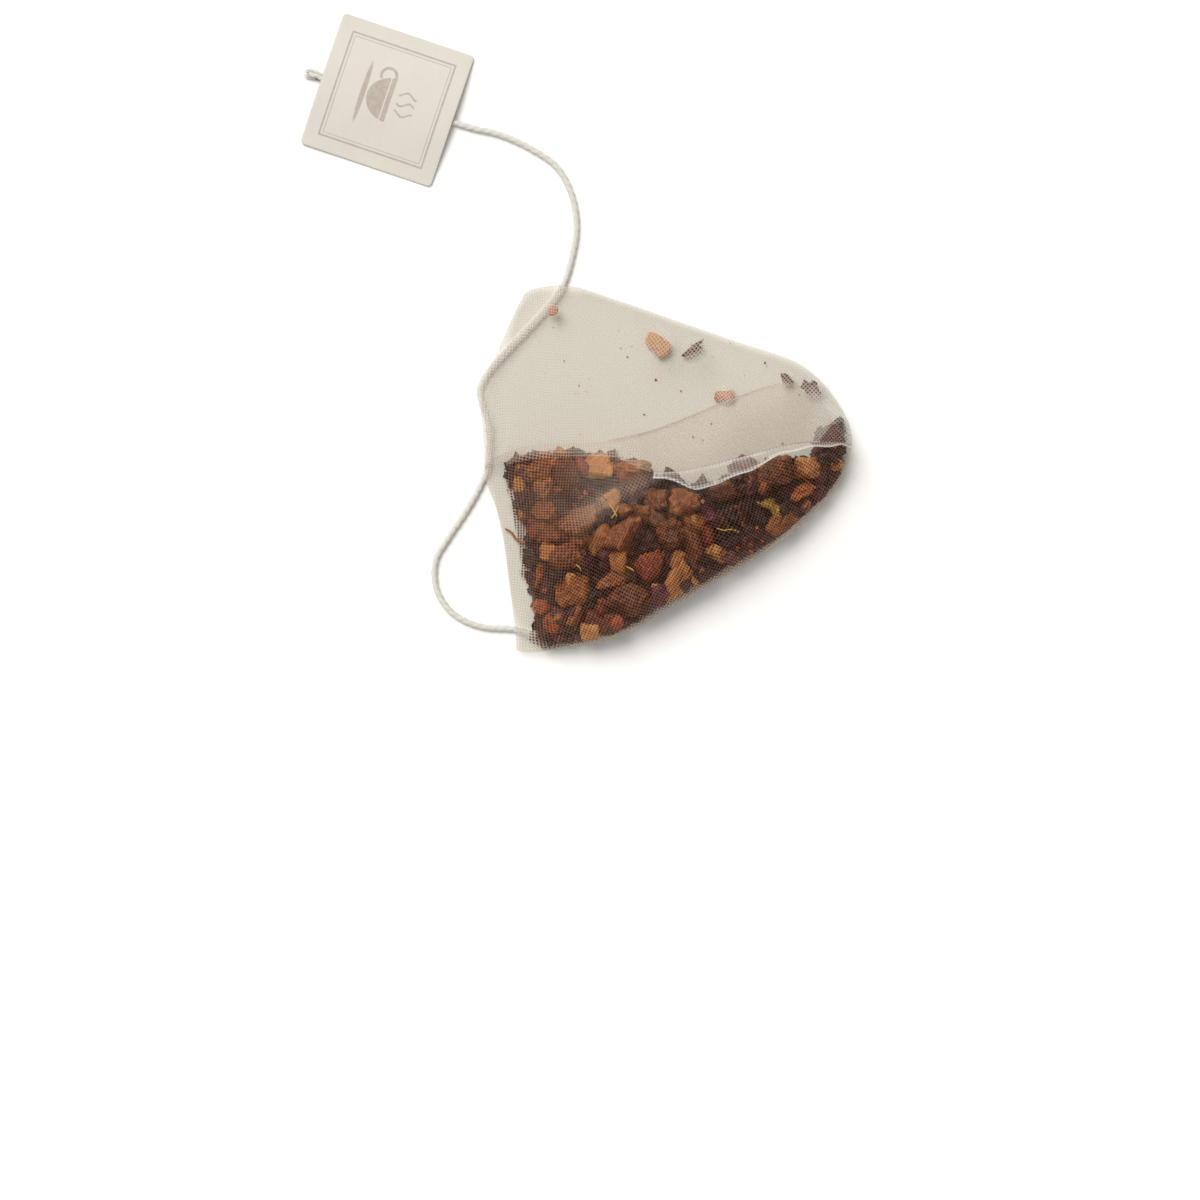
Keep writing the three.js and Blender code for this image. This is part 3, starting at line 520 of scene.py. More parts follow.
def card_finish():
    """Uncoated card: a warm off-white with faint clouds, fine fibres and a light tooth. Two
    ruled squares and a steaming cup are printed on it in pale taupe. Each printed shape is ink
    where its distance past an outline is below nothing, with a soft edge."""
    paper = Finish("tag_card", roughness=0.82)
    spot = paper.node("ShaderNodeUVMap", {"uv_map": "cloth"})
    up = paper.node("ShaderNodeSeparateXYZ", None, {"Vector": spot}, output="X")
    beside = paper.node("ShaderNodeSeparateXYZ", None, {"Vector": spot}, output="Y")

    def inside(past):
        """1 where a distance past an outline is below nothing."""
        return paper.spread(past, -INK_EDGE, INK_EDGE, 1.0, 0.0)

    def far(x, y):
        """Distance from a place on the tag."""
        return ((beside - x).power(2) + (up - y).power(2)).power(0.5)

    def oval(x, y, wide, high):
        """A filled oval: its half width and half height go once into the distance."""
        reach = (((beside - x) / wide).power(2) + ((up - y) / high).power(2)).power(0.5)
        return inside((reach - 1) * high)

    def ruled(half, width):
        """The line of a square, half being half its side."""
        square = beside.size().most(up.size())
        return inside((square - half).size() - width / 2)

    bowl = oval(0, BOWL_RIM, BOWL_WIDE, BOWL_DEEP) * inside(up - BOWL_RIM)
    bowl = bowl * (1 - inside((up - BAND_AT).size() - BAND_HALF) * 0.9)
    handle = inside((far(*HANDLE_AT) - HANDLE_RADIUS).size() - HANDLE_HALF) * inside(3.0 - beside)
    ink = bowl.most(handle).most(oval(0, SAUCER_AT, SAUCER_WIDE, SAUCER_THICK))
    for half, width in RULES:
        ink = ink.most(ruled(half, width))
    for start in STEAM_STARTS:
        sway = (up * 2.1 + start).wave() * STEAM_SWAY
        line = inside((beside - start - sway).size() - STEAM_HALF)
        ink = ink.most(line * inside((up - STEAM_AT).size() - STEAM_TALL))
    worn = paper.spread(paper.noise(1500.0, 3), 0.3, 0.7, 0.75, 1.0)
    clouds = paper.noise(60.0, 2)
    fibres = paper.noise(900.0, 4, 0.65, stretch=(1.0, 0.35, 1.0))
    grain = paper.noise(2600.0, 2)
    color = paper.mix(paper.spread(clouds, 0.35, 0.65), PAPER_DEEP, PAPER_PALE)
    color = paper.mix(paper.spread(fibres, 0.35, 0.7) * 0.35, color, PAPER_FIBRE)
    paper.set("Base Color", paper.mix(ink * worn, color, INK))
    paper.bump(fibres * 0.6 + grain * 0.4, 0.00008, 0.6)
    return paper.material


card_points, card_faces, card_pairs = card(TAG_SIDE, TAG_STEPS)
cos, sin = math.cos(TAG_TURN), math.sin(TAG_TURN)
card_points[:, :2] = card_points[:, :2] @ np.array([[cos, sin], [-sin, cos]]) + TAG_CENTRE + string_corner
tag = make_piece("card_tag", card_points, card_faces, card_finish(), card_pairs)
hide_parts("paper_tag")


# Mesh pouch
# One piece of fine woven mesh, rolled into a tube and heat-sealed flat at one end and crosswise
# at the other, which makes the pyramid. It lies on one face, slack, with its upper cloth folded
# over itself above the infusion.
SEAM_LENGTH = 57.4
SEAM_TILT = 0.0226
BAG_REACH = 53.3
FAR_CORNER_SHARE = 0.6
SELVAGE_SHARE = 2.5 / BAG_REACH
SEAM_HEIGHT = 0.35
APEX_HEIGHT = 27
APEX_SHARE = 0.41
FAR_CORNER_HEIGHT = 5
# Each side: a share of its length, and how far it stands off the straight line there.
SEAM_BOW = [
    [0.05, 0.2], [0.2, 1.5], [0.32, 2.6], [0.41, 4], [0.475, 5.5], [0.6, 6.1], [0.72, 6.7],
    [0.78, 5.7], [0.84, 4], [0.935, 1.8]]
UPPER_BOW = [
    [0.015, 1.2], [0.1, 4.1], [0.255, 5.4], [0.42, 6.3], [0.6, 7.3], [0.77, 8.2], [0.855, 7],
    [0.925, 4.8], [0.975, 2.4]]
LOWER_BOW = [
    [0.02, 1.2], [0.09, 3.4], [0.18, 5.8], [0.265, 7.1], [0.36, 7], [0.48, 7.3], [0.625, 7.5],
    [0.73, 7.3], [0.83, 6.3], [0.91, 4.7], [0.96, 2.8]]
# Each line on the cloth: a reach, and the turn there.
RIDGE_LINE = [
    [0, 0.5], [0.17, 0.48], [0.3, 0.48], [0.41, 0.55], [0.6, 0.535], [0.73, 0.5], [0.85, 0.478], [1, 0.5]]
CREASE_LINE = [
    [0, 0.49], [0.05, 0.465], [0.15, 0.45], [0.27, 0.438], [0.375, 0.418], [0.45, 0.383], [0.53, 0.328],
    [0.61, 0.257], [0.67, 0.192], [0.73, 0.138], [0.79, 0.125], [0.86, 0.19], [0.93, 0.35], [1, 0.49]]
# The standing seal: a reach, and its lean in radians or its width there.
FIN_LEAN = [[0.41, 0.9], [0.52, 1.2], [0.62, 0.9], [0.73, 0.5], [0.85, 0.3], [1, 0.15]]
FIN_WIDTH = [[0.41, 1.2], [0.5, 3.6], [0.6, 3.2], [0.72, 2.4], [1, 1.8]]
# How high the folds lie, and how the infusion holds the upper cloth up beside them.
FOLD_LIFT_REACH = 6
UPPER_FOLD_HEIGHT = 0.7
UPPER_FOLD_ROUND = 2.5
LOWER_FOLD_HEIGHT = 0.8
TEA_BULGE = 2.6
TEA_ROLL = 6
CUSHION_LOW = 4.6
CUSHION_RISE = 5
CUSHION_LEAN = 0.8
SIDE_CUSHION = 3.2
# How round the crease between two faces is, and the powers by which the faces climb.
RIDGE_SOFTNESS = 2.2
SEAM_FACE_CURVE, UPPER_FACE_CURVE, SIDE_FACE_CURVE = 1.15, 1.2, 2.6
STRING_CLEARANCE = 1.47
LAYER_GAP = 0.34
TABLE_GAP = 0.08

along_seam = np.array([math.sin(SEAM_TILT), math.cos(SEAM_TILT)])
across_seam = np.array([math.cos(SEAM_TILT), -math.sin(SEAM_TILT)])
seam_corner = string_corner + SEAM_LENGTH * along_seam
far_corner = string_corner + BAG_REACH * across_seam + FAR_CORNER_SHARE * SEAM_LENGTH * along_seam


def read_list(pairs, at):
    """Reads a list of pairs at any place, with an eased step from each pair to the next."""
    places, values = np.array(pairs, float).T
    at = np.clip(at, places[0], places[-1])
    i = np.clip(np.searchsorted(places, at), 1, len(places) - 1)
    t = (at - places[i - 1]) / (places[i] - places[i - 1])
    return values[i - 1] + (values[i] - values[i - 1]) * t * t * (3 - 2 * t)


def read_smooth(pairs, at):
    """Reads a list of pairs at any place, along one smooth curve through them all."""
    return np.interp(at, *smooth_line(pairs).T)


def ease(x, low, high):
    """0 up to low, 1 from high, and a smooth step between them."""
    t = np.clip((x - low) / (high - low), 0, 1)
    return t * t * (3 - 2 * t)


def bowed_side(start, end, bows, hand):
    """A side of the outline: a smooth line whose points stand off the straight one."""
    way = end - start
    out = np.array([way[1], -way[0]]) / np.linalg.norm(way) * hand
    return smooth_line([start, *(start + way * share + out * bow for share, bow in bows), end])


seam_side = bowed_side(string_corner, seam_corner, SEAM_BOW, -1)
upper_side = bowed_side(seam_corner, far_corner, UPPER_BOW, -1)
lower_side = bowed_side(string_corner, far_corner, LOWER_BOW, 1)


def plan(reach, turn):
    """Where the cloth is, seen from above. reach goes from 0 at the flat seam to 1 at the far
    corner, and turn from 0 at the upper side to 1 at the lower one. The place lies between the
    two sides by turn, and the seam's bow moves it by less and less along the reach."""
    straight = seam_corner + (string_corner - seam_corner) * turn[..., None]
    bow = points_at(seam_side, 1 - turn) - straight
    upper, lower = points_at(upper_side, reach), points_at(lower_side, reach)
    return upper + (lower - upper) * turn[..., None] + bow * (1 - reach[..., None])


def span_at(reach):
    """Width of the pouch across the two sides."""
    return np.linalg.norm(points_at(upper_side, reach) - points_at(lower_side, reach), axis=-1)


def near_string(spots):
    """Distance from spots on the table to the middle of the string."""
    flat = spots.reshape(-1, 2)
    near = np.full(len(flat), np.inf)
    for point in string_line[::2, :2]:
        near = np.minimum(near, np.hypot(*(flat - point).T))
    return near.reshape(spots.shape[:-1])


def string_rise(spots):
    """How far the cloth is lifted where it lies over the string and over the weld."""
    near_weld = np.linalg.norm(spots - (weld_low + weld_high)[:2] / 2, axis=-1) - WELD_SIZE[0] / 2
    near = np.minimum(near_string(spots) - STRING_DIAMETER / 2, near_weld)
    return STRING_CLEARANCE * (1 - ease(near, 0.84, 4.5))


def lift_near(distance):
    """1 at a fold, falling by a square to 0 where the lift ends."""
    return (1 - np.clip(distance / FOLD_LIFT_REACH, 0, 1)) ** 2


def upper_fold(reach):
    """Height of the fold along the upper side: it rises evenly to the far corner."""
    return UPPER_FOLD_HEIGHT * (1 + reach)


def lower_fold(reach):
    """Height of the fold along the lower side: the infusion lifts it by half a wave."""
    return LOWER_FOLD_HEIGHT + TEA_BULGE * np.sin(np.pi * reach)


def underside(reach, turn):
    """Height of the lower cloth: it lies on the table, and lifts towards its folds, the seam
    and the string under it."""
    span = span_at(reach)
    lift = upper_fold(reach) * lift_near(turn * span) + lower_fold(reach) * lift_near((1 - turn) * span)
    lift = lift + SEAM_HEIGHT * lift_near(reach * BAG_REACH)
    return np.maximum(lift, string_rise(plan(reach, turn)))


def seal_height(reach):
    """The crosswise seal runs straight from the far corner up to the apex."""
    return FAR_CORNER_HEIGHT + (APEX_HEIGHT - FAR_CORNER_HEIGHT) * (1 - reach) / (1 - APEX_SHARE)


def quarter_round(x):
    """A quarter circle from 0, where it stands upright, to 1, where it lies level."""
    return np.sqrt(1 - (1 - np.clip(x, 0, 1)) ** 2)


def faces_above(reach, turn):
    """Heights of the two faces that meet above a spot: the side face, which climbs from its
    fold over the infusion to the seal, and the face that climbs from the flat seam. Each starts
    with a quarter circle and goes on by a power of the share of its way up."""
    span = span_at(reach)
    ridge = read_smooth(RIDGE_LINE, reach)
    inward = np.clip((reach - SELVAGE_SHARE) / (APEX_SHARE - SELVAGE_SHARE), 0, None)
    over_tea = ease(turn, ridge - 0.12, ridge + 0.05)
    from_selvage = (reach - SELVAGE_SHARE) * BAG_REACH / TEA_ROLL
    seam_face = SEAM_HEIGHT + 0.5 + APEX_HEIGHT * inward ** SEAM_FACE_CURVE
    seam_face = seam_face + SIDE_CUSHION * quarter_round(from_selvage) * over_tea
    foot = upper_fold(reach) + 0.5
    upper = foot * (1 + quarter_round(turn * span / UPPER_FOLD_ROUND))
    upper = upper + (seal_height(reach) - 2 * foot) * np.clip(turn / ridge, 0, 1) ** UPPER_FACE_CURVE
    foot = lower_fold(reach) + 0.5
    cushion = CUSHION_LOW + CUSHION_RISE * np.sin(np.pi * reach ** CUSHION_LEAN)
    inside = np.clip((1 - turn) / (1 - ridge), 0, 1)
    lower = foot + (cushion - foot) * quarter_round((1 - turn) * span / TEA_ROLL)
    lower = lower + (seal_height(reach) - cushion) * inside ** SIDE_FACE_CURVE
    return np.where(turn < ridge, upper, lower), seam_face


def crown(reach, turn):
    """Height of the upper cloth: the lower of its two faces, with their crease rounded, and
    never below the cloth under it."""
    side_face, seam_face = faces_above(reach, turn)
    near = np.clip(RIDGE_SOFTNESS - np.abs(side_face - seam_face), 0, None) / RIDGE_SOFTNESS
    height = np.minimum(side_face, seam_face) - near ** 2 * RIDGE_SOFTNESS / 4
    flat = underside(reach, turn) + 0.5
    return np.where(reach <= SELVAGE_SHARE, flat, np.maximum(flat, height))


def ripples(spots, size, seed, waves=20):
    """Smooth noise of about -1 to 1: the sum of plane waves in seeded directions, each about
    size long."""
    draw = np.random.default_rng(seed)
    ways = draw.normal(size=(waves, spots.shape[-1]))
    ways *= 2 * np.pi / size * draw.uniform(0.6, 1.4, (waves, 1)) / np.linalg.norm(ways, axis=1)[:, None]
    return np.cos(spots @ ways.T + draw.uniform(0, 2 * np.pi, waves)).sum(-1) / math.sqrt(waves)


# The infusion's outline on the table.
TEA_OUTLINE = [
    [-26.2, 0.0], [-23.4, 1.8], [-19, 2.4], [-13.6, 2.4], [-8, 1.6], [-4, 0.6], [-1.5, -1.4], [4, -3.4],
    [10, -1.6], [11.5, 0.9], [15.5, 1.2], [19, 1.3], [23.6, 1.4], [24.6, 4.5], [26.5, 7], [28.4, 7.6],
    [28.8, 3.5], [28, -1], [25.5, -4.5], [21, -8.5], [14.5, -14.5], [5.5, -21], [-4, -25], [-12, -27.6],
    [-19.5, -29.2], [-22.2, -27.6], [-21.2, -24.4], [-20.7, -21], [-22, -19.2], [-23.3, -17], [-24, -10],
    [-25.2, -4.4]]


def inside_outline(spots, outline):
    """True where a spot lies inside: the outline's sides cross the line to its right an odd
    number of times."""
    inside = np.zeros(len(spots), bool)
    corners = np.array(outline)
    for a, b in zip(corners, np.roll(corners, -1, 0)):
        between = (a[1] > spots[:, 1]) != (b[1] > spots[:, 1])
        slope = (b[0] - a[0]) / (b[1] - a[1] if b[1] != a[1] else 1e-9)
        inside ^= between & (spots[:, 0] < a[0] + slope * (spots[:, 1] - a[1]))
    return inside


def spots_in(outline, count, draw):
    """Seeded places inside an outline."""
    corners = np.array(outline)
    spots = draw.uniform(corners.min(0), corners.max(0), (count * 4, 2))
    return spots[inside_outline(spots, outline)][:count]


# Where threads look closer, and where the veil lies, a painted highlight off a fold: a place from the
# string's corner, a size and an amount.
CLINGING_SPOTS = [[33.5, 41.0, 2.2, 0.5]]
VEIL_HIGHLIGHT_SPOTS = [
    [9.5, 20.9, 2.0, 1.0], [12.0, 22.2, 1.9, 1.4], [14.5, 23.7, 1.7, 1.8], [16.7, 25.1, 1.5, 2.2],
    [18.6, 26.1, 1.4, 2.3], [20.4, 27.0, 1.3, 2.4], [4.0, 24.4, 5.5, 0.8], [12.6, 28.0, 5.0, 0.8]]
# The loose flakes outside the infusion, and how light each is.
FLAKE_SHADES = {
    "apple_piece_28": 0.95, "apple_piece_29": 0.75, "hibiscus_piece_14": 1.35, "hibiscus_piece_15": 1.3,
    "hibiscus_piece_16": 1.4, "rosehip_piece_05": 1.0}
POUCH_RINGS = 190
RING_CROWDING = 0.035
OUTER_COLUMNS, FOLDED_COLUMNS, INNER_COLUMNS, LOWER_COLUMNS = 110, 36, 110, 84
ROUND_COLUMNS = 5
OUTER, FOLDED, INNER, LOWER = range(4)
THREAD_ANGLES = {OUTER: 43.0, FOLDED: -20.0, INNER: 62.0}
TUBE_ANGLE = 88.7
SWAY, SMALL_SWAY, WEAVE_WARP = 0.22, 0.07, 0.5
SELVAGE_HAZE, FOLD_HAZE, STRING_HAZE, SLOPE_HAZE = 0.3, 0.5, 0.5, 0.5
BAND_HAZE, RIM_HAZE, END_HAZE = 0.8, 2.1, 1.8
LOWER_HAZE, LOWER_STRING_HAZE = 0.3, 5


def ring_layout(reach):
    """Each ring goes up over the outer cloth to the seal's line, back under it to the crease,
    on below that to the lower side, and home along the table. Half circles turn it at each
    fold. Gives turn, layer height, and which cloth each column is."""
    ridge, crease = read_smooth(RIDGE_LINE, reach), read_smooth(CREASE_LINE, reach)
    crease = np.minimum(crease, ridge - 0.01)
    span = np.maximum(span_at(reach), 0.5)
    half = np.linspace(np.pi / 2, -np.pi / 2, ROUND_COLUMNS + 2)[1:-1]
    turns, layers, kinds = [], [], []

    def add(turn, layer, kind):
        """Adds the next columns of every ring."""
        turns.append(turn)
        layers.append(layer + 0 * turn)
        kinds.append(np.full(turn.shape, kind))

    open_share = ease(reach, 0.0, 0.06) * ease(1 - reach, 0.0, 0.08)
    gap = LAYER_GAP * open_share[:, None]
    ridge, crease, span = ridge[:, None], crease[:, None], span[:, None]
    t = np.linspace(0, 1, OUTER_COLUMNS)[None]
    turn = ridge * (1 - (1 - t) ** 1.1) ** 1.25
    add(turn, gap * ease(turn, crease - 0.06, crease + 0.03), OUTER)
    bulge = gap / 2 / span
    add(ridge + bulge * np.cos(half), gap * (0.5 + 0.5 * np.sin(half)), OUTER)
    t = np.linspace(0, 1, FOLDED_COLUMNS)[None]
    add(ridge + (crease - ridge) * t, 0 * gap, FOLDED)
    add(crease - bulge * np.cos(half), gap * (-0.5 + 0.5 * np.sin(half)), FOLDED)
    t = np.linspace(0, 1, INNER_COLUMNS)[None]
    turn = crease + (1 - crease) * (1 - (1 - t) ** 1.35)
    add(turn, -gap * (1 - ease(turn, ridge, ridge + 0.05)), INNER)
    t = np.linspace(0, 1, LOWER_COLUMNS)[None]
    add(1 - (0.5 - 0.5 * np.cos(np.pi * t)) + 0 * ridge, 0 * gap, LOWER)
    return np.hstack(turns), np.hstack(layers), np.hstack(kinds)


def thread_directions(reach, turn, kinds):
    """Which way the weave runs on each face: its angle, seen from above, in degrees. The lower
    cloth and the face at the flat seam are one run of the tube."""
    side_face, seam_face = faces_above(reach, turn)
    angle = np.select([kinds == kind for kind in THREAD_ANGLES], list(THREAD_ANGLES.values()), TUBE_ANGLE)
    return np.where((kinds != LOWER) & (seam_face < side_face), TUBE_ANGLE, angle)


def near_spots(places, spots):
    """The sum of round soft bumps, each given by its place, size and amount: the amount times e
    to the power of minus the square of distance over size."""
    total = np.zeros(places.shape[:-1])
    for x, y, size, amount in spots:
        apart = np.linalg.norm(places - string_corner - [x, y], axis=-1)
        total = total + amount * np.exp(-(apart / size) ** 2)
    return total


def over_flakes(places):
    """1 where a loose flake lies under a place, and 0 from a quarter of its size past it."""
    over = np.zeros(places.shape[:-1])
    for node in FLAKE_SHADES:
        low, high = (np.array(corner)[:2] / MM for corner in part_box(node))
        apart = np.linalg.norm(places - (low + high) / 2, axis=-1) / (np.linalg.norm(high - low) / 2)
        over = np.maximum(over, 1 - ease(apart, 0.75, 1.25))
    return over


def cloth_marks(reach, turn, kinds, points):
    """What the material needs to know of each point. dense is how close the threads look: more at the seals
    and folds, over the string, on a slope, on the band by the seal and near the far corner, and on the
    veil, where it is a painted highlight off a fold. under is 1 on the lower cloth, creased is 1 on the
    crease and paints a shade there, on_tea 1 where the cloth lies on the infusion, inner 1 on the inner
    cloth, and on_flake 1 over the loose flakes."""
    spots, height, ring = points[..., :2], points[..., 2], reach[:, 0]
    span = span_at(reach)
    across = np.cross(np.gradient(points, axis=0), np.gradient(points, axis=1))
    level = np.abs(across[..., 2]) / np.maximum(np.linalg.norm(across, axis=2), 1e-9)
    selvage = 1 - ease(reach * BAG_REACH, 1.6, 2.6)
    fold = np.exp(-np.minimum(turn, 1 - turn) * span / 0.8)
    over_string = 1 - ease(near_string(spots), 0.45, 0.95)
    slope = 1 / np.maximum(level, 0.35) - 1
    dense = SELVAGE_HAZE * selvage + FOLD_HAZE * fold + STRING_HAZE * over_string + SLOPE_HAZE * slope
    ridge = read_smooth(RIDGE_LINE, ring)[:, None]
    band = ease(turn, ridge - 0.1, ridge - 0.005) * ease(reach, 0.03, 0.1) * (1 - ease(reach, 0.36, 0.44))
    dense = dense + np.where(kinds <= FOLDED, BAND_HAZE * band, 0)
    rim = np.exp(-(1 - turn) * span / 0.9) * ease(reach, 0.05, 0.15)
    # The rim haze on the inner cloth, and the veil, a painted highlight off a fold.
    dense = dense + np.where(kinds == INNER, RIM_HAZE * rim + near_spots(spots, VEIL_HIGHLIGHT_SPOTS), 0)
    over_tea = inside_outline(spots.reshape(-1, 2), TEA_OUTLINE).reshape(turn.shape)
    on_tea = over_tea * (1 - ease(height, 12, 18))
    near_end = ease(reach, 0.74, 0.84) * ease(turn, 0.04, 0.12) + near_spots(spots, CLINGING_SPOTS)
    dense = dense + np.where(kinds == OUTER, END_HAZE * near_end * (1 - 0.6 * on_tea), 0)
    dense = np.where(kinds == LOWER, LOWER_HAZE * dense + LOWER_STRING_HAZE * over_string, dense)
    crease = read_smooth(CREASE_LINE, ring)[:, None]
    # A painted shade along the crease line, darker and pinkish, fading in and out along the reach.
    creased = np.exp(-((turn - crease) * span / 0.35) ** 2)
    creased = creased * ease(reach, 0.27, 0.31) * (1 - ease(reach, 0.6, 0.8))
    return {
        "dense": dense,
        "under": np.where(kinds == LOWER, 1 - over_string, 0),
        "creased": np.where((kinds == FOLDED) | (kinds == INNER), creased, 0),
        "on_tea": on_tea * ease(level, 0.15, 0.5),
        "inner": kinds == INNER,
        "on_flake": np.where(kinds == OUTER, over_flakes(spots), 0)}


def pouch_surface():
    """The whole pouch as one closed surface of rings along the reach. The weave's pairs are the
    points' places on the table, turned to each face's own threads and gently warped."""
    share = np.linspace(0, 1, POUCH_RINGS)
    ring = np.clip(share + RING_CROWDING * np.sin(2 * np.pi * share) / (2 * np.pi), 0, 1)
    turn, layer, kinds = ring_layout(ring)
    reach = np.repeat(ring[:, None], turn.shape[1], 1)
    spots = plan(reach, turn)
    floor = underside(reach, turn)
    roof = crown(reach, turn)
    closing = ease(reach, 0, 0.7 * SELVAGE_SHARE)
    top = floor + (roof - floor) * (0.2 + 0.8 * closing) * ease(reach, -0.001, 0.004)
    height = np.where(kinds == LOWER, np.maximum(floor, TABLE_GAP), top + layer)
    sway = ripples(spots, 11, 3) * SWAY + ripples(spots, 4.5, 4) * SMALL_SWAY
    loose = ease(reach, 0.06, 0.2) * ease(1 - reach, 0, 0.15) * ease(np.minimum(turn, 1 - turn), 0, 0.1)
    height = height + np.where(kinds == LOWER, 0, sway * loose)
    points = np.concatenate([spots, height[..., None]], -1)
    angle = np.radians(thread_directions(reach, turn, kinds))
    along = spots[..., 0] * np.cos(angle) + spots[..., 1] * np.sin(angle)
    across = spots[..., 1] * np.cos(angle) - spots[..., 0] * np.sin(angle)
    along = along + WEAVE_WARP * ripples(spots, 16, 8) + 0.1 * height
    pairs = np.stack([along, across + WEAVE_WARP * ripples(spots, 14, 9)], -1).reshape(-1, 2)
    marks = cloth_marks(reach, turn, kinds, points)
    return points.reshape(-1, 3), grid_faces(*turn.shape, wrap=True), pairs, marks


FIN_RINGS, FIN_COLUMNS = 120, 12
FIN_HALF_THICKNESS = 0.07
FIN_CURL, FIN_UNEVEN = 0.45, 0.12
FIN_SUNK = 0.25


def fin_surface():
    """The crosswise seal: a flat double band that stands on its line and leans over. Each ring goes up one
    side of the band and down the other, in steps whose lean grows with height. The threads look closest at
    the band's edge, and along its foot they are made closer and paler, a painted light that lifts the shade
    there."""
    reach = np.linspace(APEX_SHARE - 0.012, 0.992, FIN_RINGS)
    turn = read_smooth(RIDGE_LINE, reach)
    foot = np.column_stack([plan(reach, turn), crown(reach, turn)])
    ahead = np.gradient(foot[:, :2], axis=0)
    side = np.column_stack([ahead[:, 1], -ahead[:, 0]]) / np.linalg.norm(ahead, axis=1)[:, None]
    lean = read_list(FIN_LEAN, reach)[:, None]
    rise = np.linspace(0, 1, FIN_COLUMNS)
    places = reach[:, None] * BAG_REACH
    width = read_list(FIN_WIDTH, reach)[:, None] * (1 + 0.04 * ripples(places, 5, 2)[:, None])
    curl = lean + FIN_CURL * (rise[None] - 0.4) + FIN_UNEVEN * ripples(places, 7, 6)[:, None]
    step = width / (FIN_COLUMNS - 1)
    out = np.cumsum(np.sin(curl) * step, 1) - np.sin(curl[:, :1]) * step
    up = np.cumsum(np.cos(curl) * step, 1) - np.cos(curl[:, :1]) * step - FIN_SUNK
    thick = FIN_HALF_THICKNESS * np.array([1, -1])[:, None, None]
    outward = np.stack([out + thick[0] * np.cos(curl), out + thick[1] * np.cos(curl)])
    upward = np.stack([up - thick[0] * np.sin(curl), up - thick[1] * np.sin(curl)])
    outward = np.hstack([outward[0], outward[1][:, ::-1]])
    upward = np.hstack([upward[0], upward[1][:, ::-1]])
    points = np.concatenate([
        foot[:, None, :2] + outward[..., None] * side[:, None],
        (foot[:, None, 2] + upward)[..., None]], -1)
    along = np.repeat((reach * BAG_REACH)[:, None], 2 * FIN_COLUMNS, 1)
    high = np.hstack([rise * width, (rise * width)[:, ::-1]])
    pairs = np.stack([along, high], -1).reshape(-1, 2)
    # The last term is painted light along the band's foot, which lies in the seal's shade.
    dense = 1.2 + 5.0 * np.exp(-((width - high) / 0.35) ** 2) + 4.0 * np.exp(-(high / 0.45) ** 2)
    return points.reshape(-1, 3), grid_faces(FIN_RINGS, 2 * FIN_COLUMNS, wrap=True), pairs, {"dense": dense}


THREAD_PITCH = 0.46
THREAD_SHARE = 0.44
THREAD_COVER = 0.09
TEA_THREAD_COVER = 0.075
FLAKE_THREAD_COVER = 0.27
CROSSING_COVER = 0.02
FOLD_COVER = 0.09
# How much the painted shade along the crease hides.
CREASE_SHADE_COVER = 0.35
THREAD_EDGE = 0.07
CLOTH_TINT = (0.975, 0.972, 0.965)
UNDER_TINT = (0.828, 0.824, 0.782)
# The tint of the painted shade in the openings over the infusion.
GAP_SHADE = (0.30, 0.24, 0.21)
CLEAR_THREADS = [(0.62, 0.45, 0.33), (0.60, 0.46, 0.35)]
TEA_THREADS, FLAKE_THREADS = (0.66, 0.33, 0.21), (0.67, 0.60, 0.50)
CLOSE_THREADS, CLOSE_INNER_THREADS = (0.88, 0.84, 0.77), (0.86, 0.62, 0.45)
# The colour of the painted shade along the crease.
CREASE_SHADE_COLOUR = (0.56, 0.43, 0.36)


